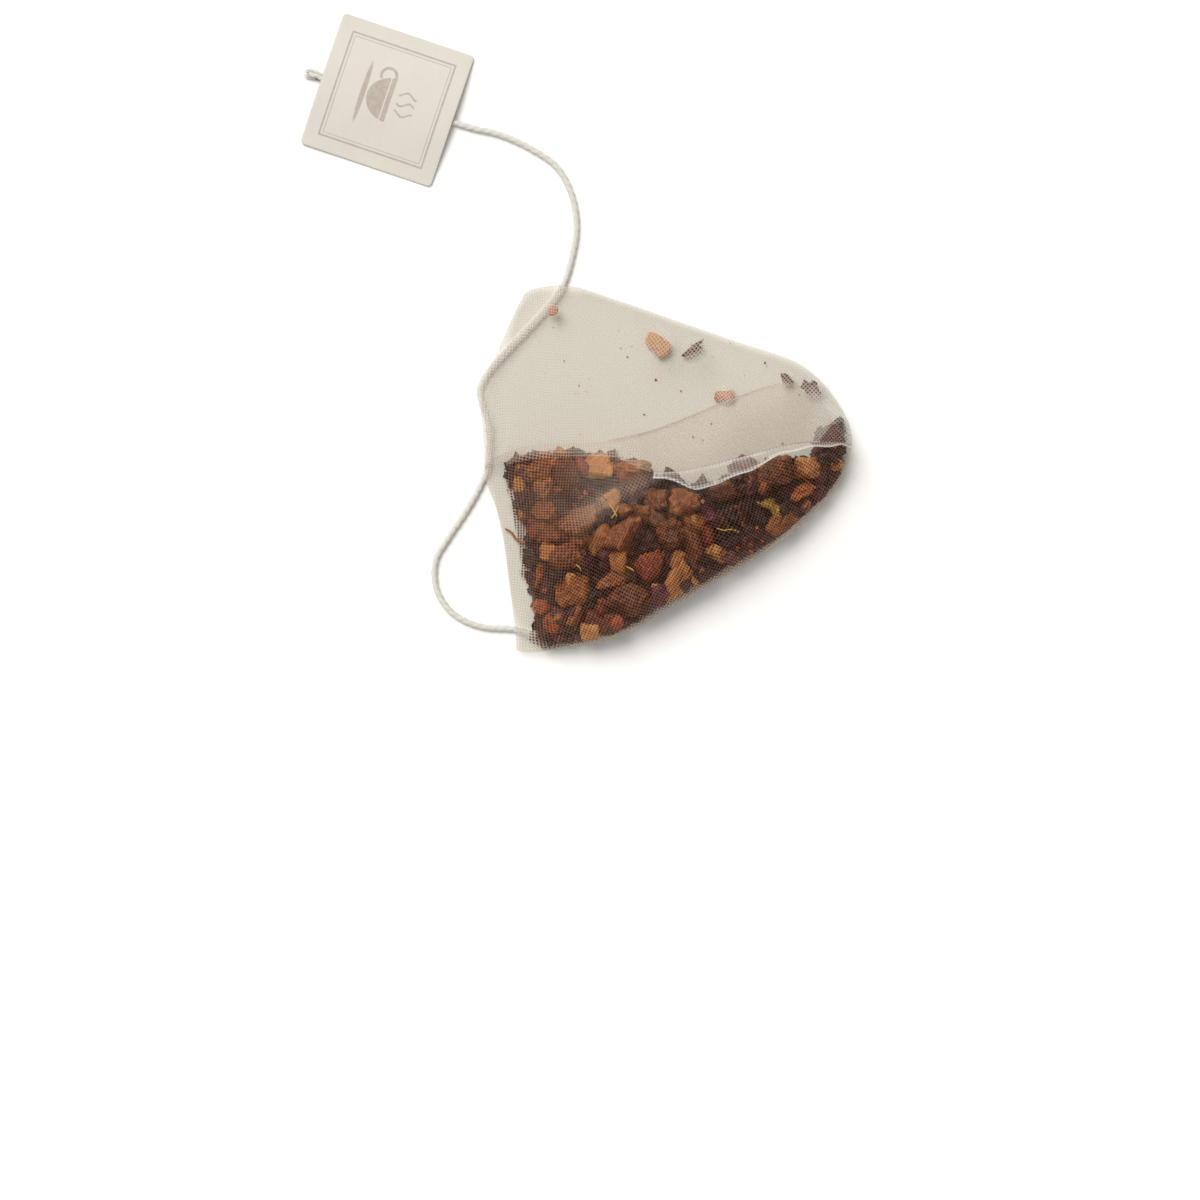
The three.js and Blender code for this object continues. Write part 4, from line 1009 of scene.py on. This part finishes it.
def mesh_finish():
    """Plain weave of clear threads. Each way of threads is a soft pulse once in a pitch. A thread hides a
    little of what is behind it, a crossing a little more, and an opening next to nothing, and what shows
    through is tinted cream, most of all by the cloth underneath. Where the cloth lies on the infusion its
    openings are tinted darker than its threads, a painted shade, and where threads lie close they hide more
    and turn paler, which on the veil and along the seal's foot is painted light. Along the crease a painted
    shade hides more and turns the threads darker and pinkish."""
    mesh = Finish("woven_mesh", roughness=0.45)
    pair = mesh.node("ShaderNodeUVMap", {"uv_map": "cloth"})

    def threads_across(way):
        """1 on the threads that are counted this way, and 0 between them."""
        place = mesh.node("ShaderNodeSeparateXYZ", None, {"Vector": pair}, output=way) * (1 / THREAD_PITCH)
        off = (place.past_whole() - 0.5).size()
        return mesh.spread(off, THREAD_SHARE / 2 - THREAD_EDGE, THREAD_SHARE / 2 + THREAD_EDGE, 1.0, 0.0)

    warp, weft = threads_across("X"), threads_across("Y")
    crossing = warp * weft
    cover = warp + weft - crossing
    clouds = mesh.spread(mesh.noise(70.0, 2), 0.3, 0.7, 0.92, 1.08)
    on_tea, on_flake, dense = mesh.mark("on_tea"), mesh.mark("on_flake"), mesh.mark("dense")
    under, creased = mesh.mark("under"), mesh.mark("creased")
    hides = mesh.spread(on_tea, 0.0, 1.0, THREAD_COVER, TEA_THREAD_COVER) + on_flake * FLAKE_THREAD_COVER
    hidden = (cover * hides + crossing * CROSSING_COVER) * (1 - under * 0.7)
    hidden = (hidden + (cover * 0.6 + 0.4) * dense * FOLD_COVER) * clouds
    # The crease's painted shade hides more of what is behind.
    hidden = (hidden + creased * CREASE_SHADE_COVER).least(0.95)
    color = mesh.mix(mesh.spread(mesh.noise(40.0, 2), 0.35, 0.65), *CLEAR_THREADS)
    color = mesh.mix(on_flake, mesh.mix(on_tea, color, TEA_THREADS), FLAKE_THREADS)
    close = mesh.mix(mesh.mark("inner"), CLOSE_THREADS, CLOSE_INNER_THREADS)
    color = mesh.mix(mesh.spread(dense, 0.3, 2.5), color, close)
    # The crease's painted shade turns the threads darker and pinkish.
    mesh.set("Base Color", mesh.mix(creased, color, CREASE_SHADE_COLOUR))
    mesh.bump(cover, 0.00006, 0.5)
    upper, lower, gap = (
        mesh.node("ShaderNodeBsdfTransparent", None, {"Color": tint})
        for tint in (CLOTH_TINT, UNDER_TINT, GAP_SHADE))
    # Over the infusion the openings pass through a dark tint, a painted shade.
    clear = mesh.mixed((1 - cover) * on_tea, mesh.mixed(under, upper, lower), gap)
    mesh.surface(lambda threads: mesh.mixed(hidden, clear, threads))
    return mesh.material


cloth, seal = pouch_surface(), fin_surface()
pouch_points, pouch_faces, pouch_pairs = joined([cloth[:3], seal[:3]])
no_mark = np.zeros(len(seal[0]))
pouch_marks = {
    mark: np.r_[np.ravel(values), np.ravel(seal[3].get(mark, no_mark))]
    for mark, values in cloth[3].items()}
pouch = make_piece(
    "mesh_pouch_cloth", pouch_points, pouch_faces, mesh_finish(), pouch_pairs, pouch_marks)
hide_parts("mesh_pouch")


MAP_STEP = 0.25
MAP_REACHES, MAP_TURNS = 420, 460
SEAM_ROOM, END_ROOM = 0.9, 0.4
EDGE_ROOM, ROOF_ROOM, FLOOR_ROOM = 0.35, 0.3, 0.14
DRAW_STEPS, DRAW_SHARE = 9, 0.92


def map_of_cloth():
    """Heights of the lower and the upper cloth, and the distance in from the pouch's folds and
    its flat seam, on a square map of the table. Each square takes what lies on it from a fine
    grid of reach and turn, and squares outside take their neighbour's."""
    reach, turn = np.meshgrid(np.linspace(0, 1, MAP_REACHES), np.linspace(0, 1, MAP_TURNS), indexing="ij")
    places = plan(reach, turn)
    low = places.reshape(-1, 2).min(0) - 2
    counts = ((places.reshape(-1, 2).max(0) + 2 - low) / MAP_STEP).astype(int)
    span = span_at(reach)
    from_seam = (reach - SELVAGE_SHARE) * BAG_REACH + SEAM_ROOM
    inward = np.minimum(np.minimum(turn, 1 - turn) * span, from_seam)
    inward = np.minimum(inward, (1 - reach) * BAG_REACH - END_ROOM)
    at = np.rint((places - low) / MAP_STEP).astype(int)
    layers = np.full((3, *counts), np.nan)
    layers[:, at[..., 0], at[..., 1]] = np.stack([underside(reach, turn), crown(reach, turn), inward])
    while np.isnan(layers).any():
        for axis, way in ((1, 1), (1, -1), (2, 1), (2, -1)):
            layers = np.where(np.isnan(layers), np.roll(layers, way, axis), layers)
    return low, layers


map_low, map_layers = map_of_cloth()
# The tightest of each square and its eight neighbours: the highest floor and the lowest roof.
around = [np.roll(map_layers, (x, y), (1, 2)) for x in (-1, 0, 1) for y in (-1, 0, 1)]
tight_layers = np.stack([np.max(around, 0)[0], *np.min(around, 0)[1:]])


def cloth_heights(spots, layers=map_layers):
    """Heights of the lower and the upper cloth at some spots, and how far in each spot is."""
    at = np.rint((spots - map_low) / MAP_STEP).astype(int)
    i, j = (np.clip(at[..., axis], 0, layers.shape[axis + 1] - 1) for axis in (0, 1))
    return layers[:, i, j]


def kept_inside(points):
    """Draws points that are past the pouch's sides in towards their piece's middle, in a few
    steps, and presses those that stand out of its cloth back against it."""
    spots = points[..., :2]
    middle = spots.mean(-2, keepdims=True)
    for _ in range(DRAW_STEPS):
        past = cloth_heights(spots, tight_layers)[2] < EDGE_ROOM
        spots = np.where(past[..., None], middle + DRAW_SHARE * (spots - middle), spots)
    floor, roof, _ = cloth_heights(spots, tight_layers)
    high = np.maximum(roof - ROOF_ROOM, floor + 0.2)
    return np.concatenate([spots, np.clip(points[..., 2], floor + FLOOR_ROOM, high)[..., None]], -1)


# Infusion
# Dried fruit, cut small: apple dice, rosehip shells, wrinkled hibiscus, dark leaf and a petal,
# which lie loose in the lower part of the pouch. Each larger piece is its own.
def points_of(mesh):
    """The points of a mesh, as an array."""
    flat = np.zeros(len(mesh.vertices) * 3)
    mesh.vertices.foreach_get("co", flat)
    return flat.reshape(-1, 3)


def round_points(level):
    """The points and faces of a ball made of even triangles."""
    mesh = bpy.data.meshes.new("ball")
    form = bmesh.new()
    bmesh.ops.create_icosphere(form, subdivisions=level, radius=1)
    form.to_mesh(mesh)
    form.free()
    points = points_of(mesh)
    corners = np.zeros(len(mesh.loops), int)
    mesh.loops.foreach_get("vertex_index", corners)
    bpy.data.meshes.remove(mesh)
    return points / np.linalg.norm(points, axis=1)[:, None], corners.reshape(-1, 3)


fine_ball = round_points(5)
small_ball = round_points(4)
rough_ball = round_points(3)


def cut_flat(points, draw, cuts, nearest, farthest):
    """Presses what lies past each of a few seeded planes onto the plane, as a knife leaves it."""
    for _ in range(cuts):
        way = draw.normal(size=3)
        way /= np.linalg.norm(way)
        past = points @ way - draw.uniform(nearest, farthest)
        points = points - np.maximum(past, 0)[:, None] * way * 0.92
    return points


def diced(ball, draw, seed):
    """A dried dice: a cube with full sides, cut by planes, shrunk into dents and ridges."""
    points = ball / (np.abs(ball) ** 4).sum(1)[:, None] ** 0.25
    points = cut_flat(points, draw, 7, 0.55, 1.0)
    shrink = 1 + 0.11 * ripples(points, 1.5, seed) + 0.05 * ripples(points, 0.55, seed + 1)
    fibres = 0.022 * ripples(points * [0.5, 1, 1], 0.16, seed + 2)
    return points * (shrink + fibres)[:, None]


def shell(ball, draw, seed):
    """A piece of fruit shell: a flattened ball bent over, with a wrinkled skin."""
    points = ball / (np.abs(ball) ** 3).sum(1)[:, None] ** (1 / 3)
    points = cut_flat(points, draw, 4, 0.6, 0.95)
    wrinkled = 1 + 0.08 * ripples(points, 1.1, seed) + 0.04 * ripples(points, 0.3, seed + 1)
    points = points * [1, 1, 0.55] * wrinkled[:, None]
    points[:, 2] -= 0.5 * (points[:, 0] ** 2 + points[:, 1] ** 2) - 0.25
    return points


def crumpled(ball, draw, seed):
    """A crumpled petal or leaf: a thin ragged disc folded by strong waves."""
    ragged = 1 + 0.22 * ripples(ball[:, :2], 1.4, seed) + 0.1 * ripples(ball[:, :2], 0.45, seed + 1)
    points = ball * [1, 1, 0.22] * ragged[:, None]
    fold = 0.42 * ripples(points[:, :2], 1.7, seed + 2) + 0.2 * ripples(points[:, :2], 0.7, seed + 3)
    points[:, 2] += fold
    points[:, :2] += 0.18 * np.stack([ripples(points, 1.3, seed + 4), ripples(points, 1.3, seed + 5)], -1)
    return points + 0.02 * ripples(points, 0.2, seed + 6)[:, None]


SHAPES = {"apple": diced, "rosehip": shell, "hibiscus": crumpled, "leaf": crumpled, "petal": crumpled}


def fitted(points, corners, fill):
    """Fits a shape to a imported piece: turned to that piece's own long, middle and short way,
    and stretched to its size each way times fill."""
    middle = corners.mean(0)
    ways = np.linalg.svd(corners - middle, full_matrices=False)[2]
    ways[2] = np.cross(ways[0], ways[1])
    seen = (corners - middle) @ ways.T
    low, high = points.min(0), points.max(0)
    size = seen.max(0) - seen.min(0)
    stretched = ((points - low) / (high - low) - 0.5) * size * fill + (seen.max(0) + seen.min(0)) / 2
    return stretched @ ways + middle


FILL = 1.3
FLAKE_FILL = 1.2
LARGE_PIECE = 3
# The relief share weighs a painted shade in each piece's dents and a painted light on its ridges.
MOTTLE_SHARE, FIBRE_SHARE, SHADE_SHARE, PAINTED_RELIEF_SHADE_SHARE, DARKER = 0.4, 0.2, 0.62, 0.42, 0.34
# From the darkest to the palest, at these places of a ramp.
COLOUR_PLACES = (0.12, 0.42, 0.68, 0.92)
DRIED_COLOURS = {
    "apple": [(0.07, 0.016, 0.005), (0.26, 0.075, 0.018), (0.48, 0.18, 0.045), (0.68, 0.34, 0.12)],
    "rosehip": [(0.07, 0.012, 0.004), (0.24, 0.04, 0.012), (0.42, 0.10, 0.028), (0.55, 0.2, 0.07)],
    "hibiscus": [(0.005, 0.002, 0.002), (0.024, 0.006, 0.008), (0.07, 0.015, 0.018), (0.16, 0.045, 0.05)],
    "leaf": [(0.005, 0.005, 0.004), (0.014, 0.014, 0.01), (0.034, 0.032, 0.02), (0.07, 0.062, 0.033)],
    "petal": [(0.35, 0.16, 0.02), (0.62, 0.36, 0.05), (0.75, 0.5, 0.1), (0.8, 0.62, 0.25)],
}


def dried_finish(kind, colours):
    """Dried plant stuff, mottled, with a tone of its own for each piece, fine fibres in its surface and a
    dull shine where the skin shows. A painted shade darkens its dents and a painted light brightens its
    ridges."""
    dried = Finish("dried_" + kind, roughness=0.7)
    mottle = dried.noise(700.0, 4, 0.6)
    fibres = dried.noise(2600.0, 3, 0.6, stretch=(1.0, 0.4, 0.7))
    shade = dried.mark("shade")
    relief = dried.mark("relief")
    level = mottle * MOTTLE_SHARE + fibres * FIBRE_SHARE + shade * SHADE_SHARE
    # Painted shade in the dents and painted light on the ridges, by how far each point stands out.
    level = level + relief * PAINTED_RELIEF_SHADE_SHARE - DARKER
    stops = list(zip(COLOUR_PLACES, colours))
    dried.set("Base Color", dried.node("ShaderNodeValToRGB", {"stops": stops}, {"Fac": level}))
    dried.set("Roughness", dried.spread(mottle, 0.3, 0.7, 0.5, 0.85))
    dried.bump(mottle * 0.6 + fibres * 0.4, 0.0004, 0.8)
    return dried.material


dried_materials = {kind: dried_finish(kind, colours) for kind, colours in DRIED_COLOURS.items()}


def painted_relief_shade_of(points, faces):
    """How far each point stands out of its neighbours, from 0 in a dent to 1 on a ridge: where the dried
    finish paints shade and light.
    """
    total, count = np.zeros_like(points), np.zeros(len(points))
    for a, b in ((0, 1), (1, 2), (2, 0)):
        np.add.at(total, faces[:, a], points[faces[:, b]])
        np.add.at(total, faces[:, b], points[faces[:, a]])
        np.add.at(count, faces[:, a], 1)
        np.add.at(count, faces[:, b], 1)
    around = total / count[:, None]
    outward = points - points.mean(0)
    outward /= np.linalg.norm(outward, axis=1)[:, None]
    stand = ((points - around) * outward).sum(1)
    return np.clip(0.5 + stand / (4 * stand.std()), 0, 1)


for number, node in enumerate(sorted(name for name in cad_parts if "_piece_" in name)):
    kind = node.split("_")[0]
    corners = points_of(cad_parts[node].data) / MM
    draw = np.random.default_rng(100 + number)
    large = np.ptp(corners, axis=0).max() > LARGE_PIECE
    ball, faces = fine_ball if large else small_ball
    fill = FLAKE_FILL if node in FLAKE_SHADES else FILL
    points = kept_inside(fitted(SHAPES[kind](ball, draw, 1000 + 10 * number), corners, fill))
    shade = FLAKE_SHADES.get(node, draw.uniform(0, 1))
    # Each piece gets its mask of painted shade in dents and painted light on ridges.
    marks = {"shade": np.full(len(points), shade), "relief": painted_relief_shade_of(points, faces)}
    piece = make_piece("dried_" + node, points, faces, dried_materials[kind], marks=marks)
    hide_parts(node)


# Broken pieces
# Middle-sized dice, shells and petals, which fill the room between the larger ones.
# Name, kind, how many, least and most size, and thickness over size.
BROKEN = [
    ["broken_hibiscus", "hibiscus", 24, 2.6, 5.0, 0.5],
    ["broken_apple", "apple", 18, 3.4, 5.8, 0.75],
    ["broken_rosehip", "rosehip", 8, 2.2, 3.6, 0.6],
    ["broken_leaf", "leaf", 12, 2.0, 4.0, 0.4],
]
CLEARANCE = 0.62
MOST_ROOM, FLOOR_GAP, ROOF_GAP = 5, 0.2, 0.4
# What is there already: a place on the table and a radius.
taken = []
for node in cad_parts:
    if "_piece_" in node:
        low, high = (np.array(corner)[:2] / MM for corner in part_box(node))
        taken.append([*(low + high) / 2, (high - low).mean() / 2])


def broken_pieces(kind, count, least, most, flatness, draw, seed):
    """Pieces at seeded spots that stand clear of those already there. Each is stretched to its
    own size, turned about by a seeded angle, and laid somewhere between the two cloths."""
    parts, shades = [], []
    for spot in spots_in(TEA_OUTLINE, count * 30, draw):
        size = draw.uniform(least, most)
        thick = size * flatness
        floor, roof, inward = cloth_heights(spot)
        others = np.array(taken)
        apart = np.linalg.norm(others[:, :2] - spot, axis=1) - CLEARANCE * (others[:, 2] + size / 2)
        clear = apart.min() >= 0 and inside_outline(spot[None] + [0, size / 2], TEA_OUTLINE)[0]
        fits = inward >= 0.42 * size and roof - floor >= 0.8 * thick
        if len(parts) == count or not clear or not fits:
            continue
        shape = SHAPES[kind](rough_ball[0], draw, seed + 10 * len(parts))
        sizes = [size, size * draw.uniform(0.6, 0.95), thick]
        shape = (shape - shape.mean(0)) / np.ptp(shape, axis=0) * sizes
        turn, tip = draw.uniform(0, 2 * np.pi), draw.uniform(-0.5, 0.5)
        spin = mathutils.Matrix.Rotation(turn, 3, "Z") @ mathutils.Matrix.Rotation(tip, 3, "X")
        room = np.clip(roof - floor - thick - ROOF_GAP, 0, MOST_ROOM)
        height = floor + FLOOR_GAP + thick / 2 + room * draw.uniform(0.4, 1)
        points = kept_inside(shape @ np.array(spin).T + [*spot, height])
        taken.append([*spot, size / 2])
        parts.append((points, rough_ball[1], painted_relief_shade_of(points, rough_ball[1])[:, None]))
        shades.append(np.full(len(points), draw.uniform(0, 1)))
    points, faces, relief = joined(parts)
    return points, faces, {"shade": np.concatenate(shades), "relief": relief}


for row, (name, kind, count, least, most, flatness) in enumerate(BROKEN):
    draw = np.random.default_rng(70 + row)
    points, faces, marks = broken_pieces(kind, count, least, most, flatness, draw, 5000 + 1000 * row)
    make_piece(name, points, faces, dried_materials[kind], marks=marks)


# Crumbs
# The small stuff under and between the pieces: broken fruit, petal and leaf, and dust that
# clings to the mesh.
def lump():
    """A cube whose sides are cut in four, with its points on a ball: 26 points and 24 faces."""
    steps = np.array([-1, 0, 1])
    cube = np.stack(np.meshgrid(steps, steps, steps, indexing="ij"), -1).reshape(-1, 3)
    cube = cube[np.abs(cube).max(1) == 1]
    where = {tuple(point): index for index, point in enumerate(cube)}
    faces = []
    for axis in range(3):
        u, v = (axis + 1) % 3, (axis + 2) % 3
        for side in (-1, 1):
            for a in (-1, 0):
                for b in (-1, 0):
                    ring = [(a, b), (a + 1, b), (a + 1, b + 1), (a, b + 1)]
                    ring = ring if side > 0 else ring[::-1]
                    face = []
                    for p, q in ring:
                        point = [0, 0, 0]
                        point[axis], point[u], point[v] = side, p, q
                        face.append(where[tuple(point)])
                    faces.append(face)
    return cube / (np.abs(cube.astype(float)) ** 3).sum(1)[:, None] ** (1 / 3), np.array(faces)


lump_points, lump_faces = lump()


def crumbs(name, kind, spots, heights, sizes, flatness, draw):
    """Many small shards as one piece: each is its own lump of points, stretched, roughened, cut
    by two planes and turned by seeded numbers."""
    count = len(spots)
    rough = 1 + 0.3 * draw.uniform(-1, 1, (count, len(lump_points), 1))
    shape = lump_points[None] * rough
    for _ in range(2):
        way = draw.normal(size=(count, 1, 3))
        way /= np.linalg.norm(way, axis=2, keepdims=True)
        past = (shape * way).sum(2, keepdims=True) - draw.uniform(0.3, 0.8, (count, 1, 1))
        shape = shape - np.maximum(past, 0) * way
    shape = shape * draw.uniform(0.45, 1, (count, 1, 3)) * [1.1, 1, flatness]
    angles = draw.uniform(-1, 1, (3, count)) * np.array([[0.6], [0.6], [np.pi]])
    for axis, angle in enumerate(angles):
        u, v = (axis + 1) % 3, (axis + 2) % 3
        cos, sin = np.cos(angle)[:, None], np.sin(angle)[:, None]
        turned_u = cos * shape[..., u] - sin * shape[..., v]
        shape[..., v] = sin * shape[..., u] + cos * shape[..., v]
        shape[..., u] = turned_u
    points = shape * sizes[:, None, None] / 2 + np.column_stack([spots, heights])[:, None]
    faces = lump_faces[None] + np.arange(count)[:, None, None] * len(lump_points)
    # The shards' raised points get painted light and their sunken points painted shade.
    marks = {
        "shade": np.repeat(draw.uniform(0, 1, count), len(lump_points)),
        "relief": np.clip(0.5 + (rough[..., 0] - 1) * 1.6, 0, 1)}
    points = kept_inside(points).reshape(-1, 3)
    faces = faces.reshape(-1, 4)
    make_piece(name, points, faces, dried_materials[kind], marks=marks, smooth=False)


# Name, kind, how many are tried, least and most size, thickness over size, and how low and how
# high they lie in the room between the cloths.
CRUMBS = [
    ["hibiscus_bed", "hibiscus", 1200, 2.0, 4.2, 0.3, 0.0, 0.25],
    ["leaf_bed", "leaf", 240, 1.6, 3.4, 0.3, 0.0, 0.35],
    ["apple_crumbs", "apple", 110, 1.0, 3.4, 0.75, 0.2, 1.0],
    ["hibiscus_crumbs", "hibiscus", 240, 1.2, 3.6, 0.45, 0.2, 0.9],
    ["rosehip_crumbs", "rosehip", 60, 0.9, 2.6, 0.6, 0.2, 1.0],
    ["leaf_crumbs", "leaf", 80, 0.8, 2.6, 0.4, 0.2, 0.9],
]
PETAL_ROOM = 3
MOST_CRUMB_ROOM, CRUMB_FLOOR_GAP, CRUMB_ROOF_GAP = 4.4, 0.15, 0.45
petal_place = np.mean(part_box("petal_piece_01"), axis=0)[:2] / MM
for row, (name, kind, count, least, most, flatness, deepest, highest) in enumerate(CRUMBS):
    draw = np.random.default_rng(40 + row)
    spots = spots_in(TEA_OUTLINE, count, draw)
    sizes = least + (most - least) * draw.uniform(0, 1, len(spots)) ** 2
    floor, roof, inward = cloth_heights(spots)
    thick = 0.35 + 0.8 * sizes * flatness
    fits = (roof - floor > thick + 0.5) & (inward > 0.45 * sizes + 0.2)
    fits &= (highest < 0.5) | (np.linalg.norm(spots - petal_place, axis=1) > PETAL_ROOM)
    spots, sizes, floor, roof, thick = spots[fits], sizes[fits], floor[fits], roof[fits], thick[fits]
    room = np.clip(roof - floor - thick - CRUMB_ROOF_GAP, 0, MOST_CRUMB_ROOM)
    heights = floor + CRUMB_FLOOR_GAP + thick / 2 + room * draw.uniform(deepest, highest, len(spots))
    crumbs(name, kind, spots, heights, sizes, flatness, draw)


# Places of the larger specks, and the outline that holds the rest.
DUST_SPOTS = [
    [-6.2, 18.1], [16.0, 17.1], [18.8, 4.2], [-0.9, 20.5], [7.3, 7.3], [5.9, 4.7], [4.4, 5.2], [-27.5, 8.4],
    [-1.6, 14.4], [2.4, 12.6], [-29.0, 6.1], [-14.0, 13.5], [10.4, 20.2], [21.5, 12.0], [-3.5, 8.8]]
DUST_OUTLINE = [[-26, 3], [-26, 14], [-21, 25], [-10, 24], [8, 18], [22, 12], [24, 7], [0, 1]]
draw = np.random.default_rng(61)
spots = np.vstack([DUST_SPOTS, spots_in(DUST_OUTLINE, 26, draw)])
large, small = len(DUST_SPOTS), len(spots) - len(DUST_SPOTS)
sizes = np.r_[draw.uniform(0.25, 0.5, large), draw.uniform(0.1, 0.25, small)]
crumbs("clinging_dust", "rosehip", spots, cloth_heights(spots)[0] + 0.2, sizes, 0.5, draw)


# Stems
# A few thin stems: one lies loose past the edge of the infusion, and pale bits lie on its top.
# By colour: four places along each stem, then its radius.
STEMS = {
    "apple": [[[-25.9, -9.6], [-24.9, -10.2], [-24.2, -11.2], [-22.6, -11.9], 0.2]],
    "petal": [
        [[-9.2, -5.6], [-8.6, -6.4], [-8.2, -7.1], [-7.9, -7.7], 0.14],
        [[-7.6, -5.9], [-7.9, -6.6], [-8.3, -7.4], [-8.8, -8.0], 0.12],
        [[-14.4, -15.4], [-14.1, -15.7], [-13.8, -16.0], [-13.6, -16.4], 0.13],
        [[-6.6, -15.6], [-6.1, -15.9], [-5.6, -16.1], [-5.2, -16.5], 0.18],
        [[8.1, -9.6], [9.2, -9.9], [10.6, -9.8], [11.9, -10.3], 0.12]],
}
STEM_STEPS, STEM_SIDES = 18, 6
STEM_TOP = 6.9


def stems(rows):
    """Thin rods along short bent lines, a little thinner at both ends, under the upper cloth."""
    parts = []
    for *corners, radius in rows:
        floor, roof, _ = cloth_heights(np.array(corners))
        heights = np.where(roof - floor > 1.4, np.minimum(roof - 0.5, STEM_TOP), floor + 0.3)
        line = smooth_line(np.column_stack([corners, heights]))
        line = points_at(line, np.linspace(0, 1, STEM_STEPS))
        thick = 0.55 + 0.45 * np.sin(np.linspace(0.3, 2.8, STEM_STEPS))
        parts.append(tube(line, radius * thick, STEM_SIDES))
    return joined(parts)


for kind, rows in STEMS.items():
    points, faces, _ = stems(rows)
    # The stems keep the middle of the painted relief shade all over.
    marks = {"shade": np.full(len(points), 0.55), "relief": np.full(len(points), 0.5)}
    make_piece("thin_stems_" + kind, points, faces, dried_materials[kind], marks=marks)


# Floor and light
# Warm white paper that shows as plain white to the eye and keeps the bag's shadow. Soft light
# falls from the upper left, as through a window, and pale light comes from all round.
TABLE_COLOUR = (0.88, 0.84, 0.775)
TABLE_SEEN = (1.05, 1.035, 1.01)
FLOOR_HALF = 3.0
SKY_COLOUR = (1.0, 0.985, 0.96)
SKY_STRENGTH = 0.42
LAMP_STRENGTH = 2.5
LAMP_SPREAD = math.radians(38)
LAMP_WAY = (-0.33, 0.5, 0.85)


def table_finish():
    """Matt paper. What a camera sees, or a mirror or glass shows, is a whiter paper."""
    table = Finish("paper_table", roughness=0.95, specular_ior_level=0.1)
    table.set("Base Color", TABLE_COLOUR)
    whiter = table.node("ShaderNodeBsdfDiffuse", None, {"Color": TABLE_SEEN})
    table.surface(lambda paper: table.mixed(table.seen_plainly(), paper, whiter))
    return table.material


floor_mesh = bpy.data.meshes.new("table_top")
floor_corners = [(x * FLOOR_HALF, y * FLOOR_HALF, 0) for x, y in ((-1, -1), (1, -1), (1, 1), (-1, 1))]
floor_mesh.from_pydata(floor_corners, [], [(0, 1, 2, 3)])
floor_mesh.materials.append(table_finish())
table_top = bpy.data.objects.new("table_top", floor_mesh)
bpy.context.scene.collection.objects.link(table_top)
table_top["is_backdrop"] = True

world = bpy.data.worlds.new("pale_room")
world.use_nodes = True
room = Nodes(world.node_tree)
sky = room.tree.nodes["Background"]
room.put(sky.inputs["Color"], SKY_COLOUR)
room.put(sky.inputs["Strength"], SKY_STRENGTH)
white = room.node("ShaderNodeBackground", None, {"Color": (1, 1, 1)})
seen = room.mixed(room.seen_plainly(), Value(room, sky.outputs[0]), white)
room.put(room.tree.nodes["World Output"].inputs["Surface"], seen)
bpy.context.scene.world = world

lamp_data = bpy.data.lights.new("window", "SUN")
lamp_data.energy = LAMP_STRENGTH
lamp_data.angle = LAMP_SPREAD
lamp = bpy.data.objects.new("window", lamp_data)
lamp.rotation_euler = (-mathutils.Vector(LAMP_WAY)).to_track_quat("-Z", "Y").to_euler()
bpy.context.scene.collection.objects.link(lamp)
bpy.context.scene.view_settings.view_transform = "Standard"

sizes = {
    "cad": [list(corner) for corner in cad_box],
    "visual": [list(corner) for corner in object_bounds()],
}
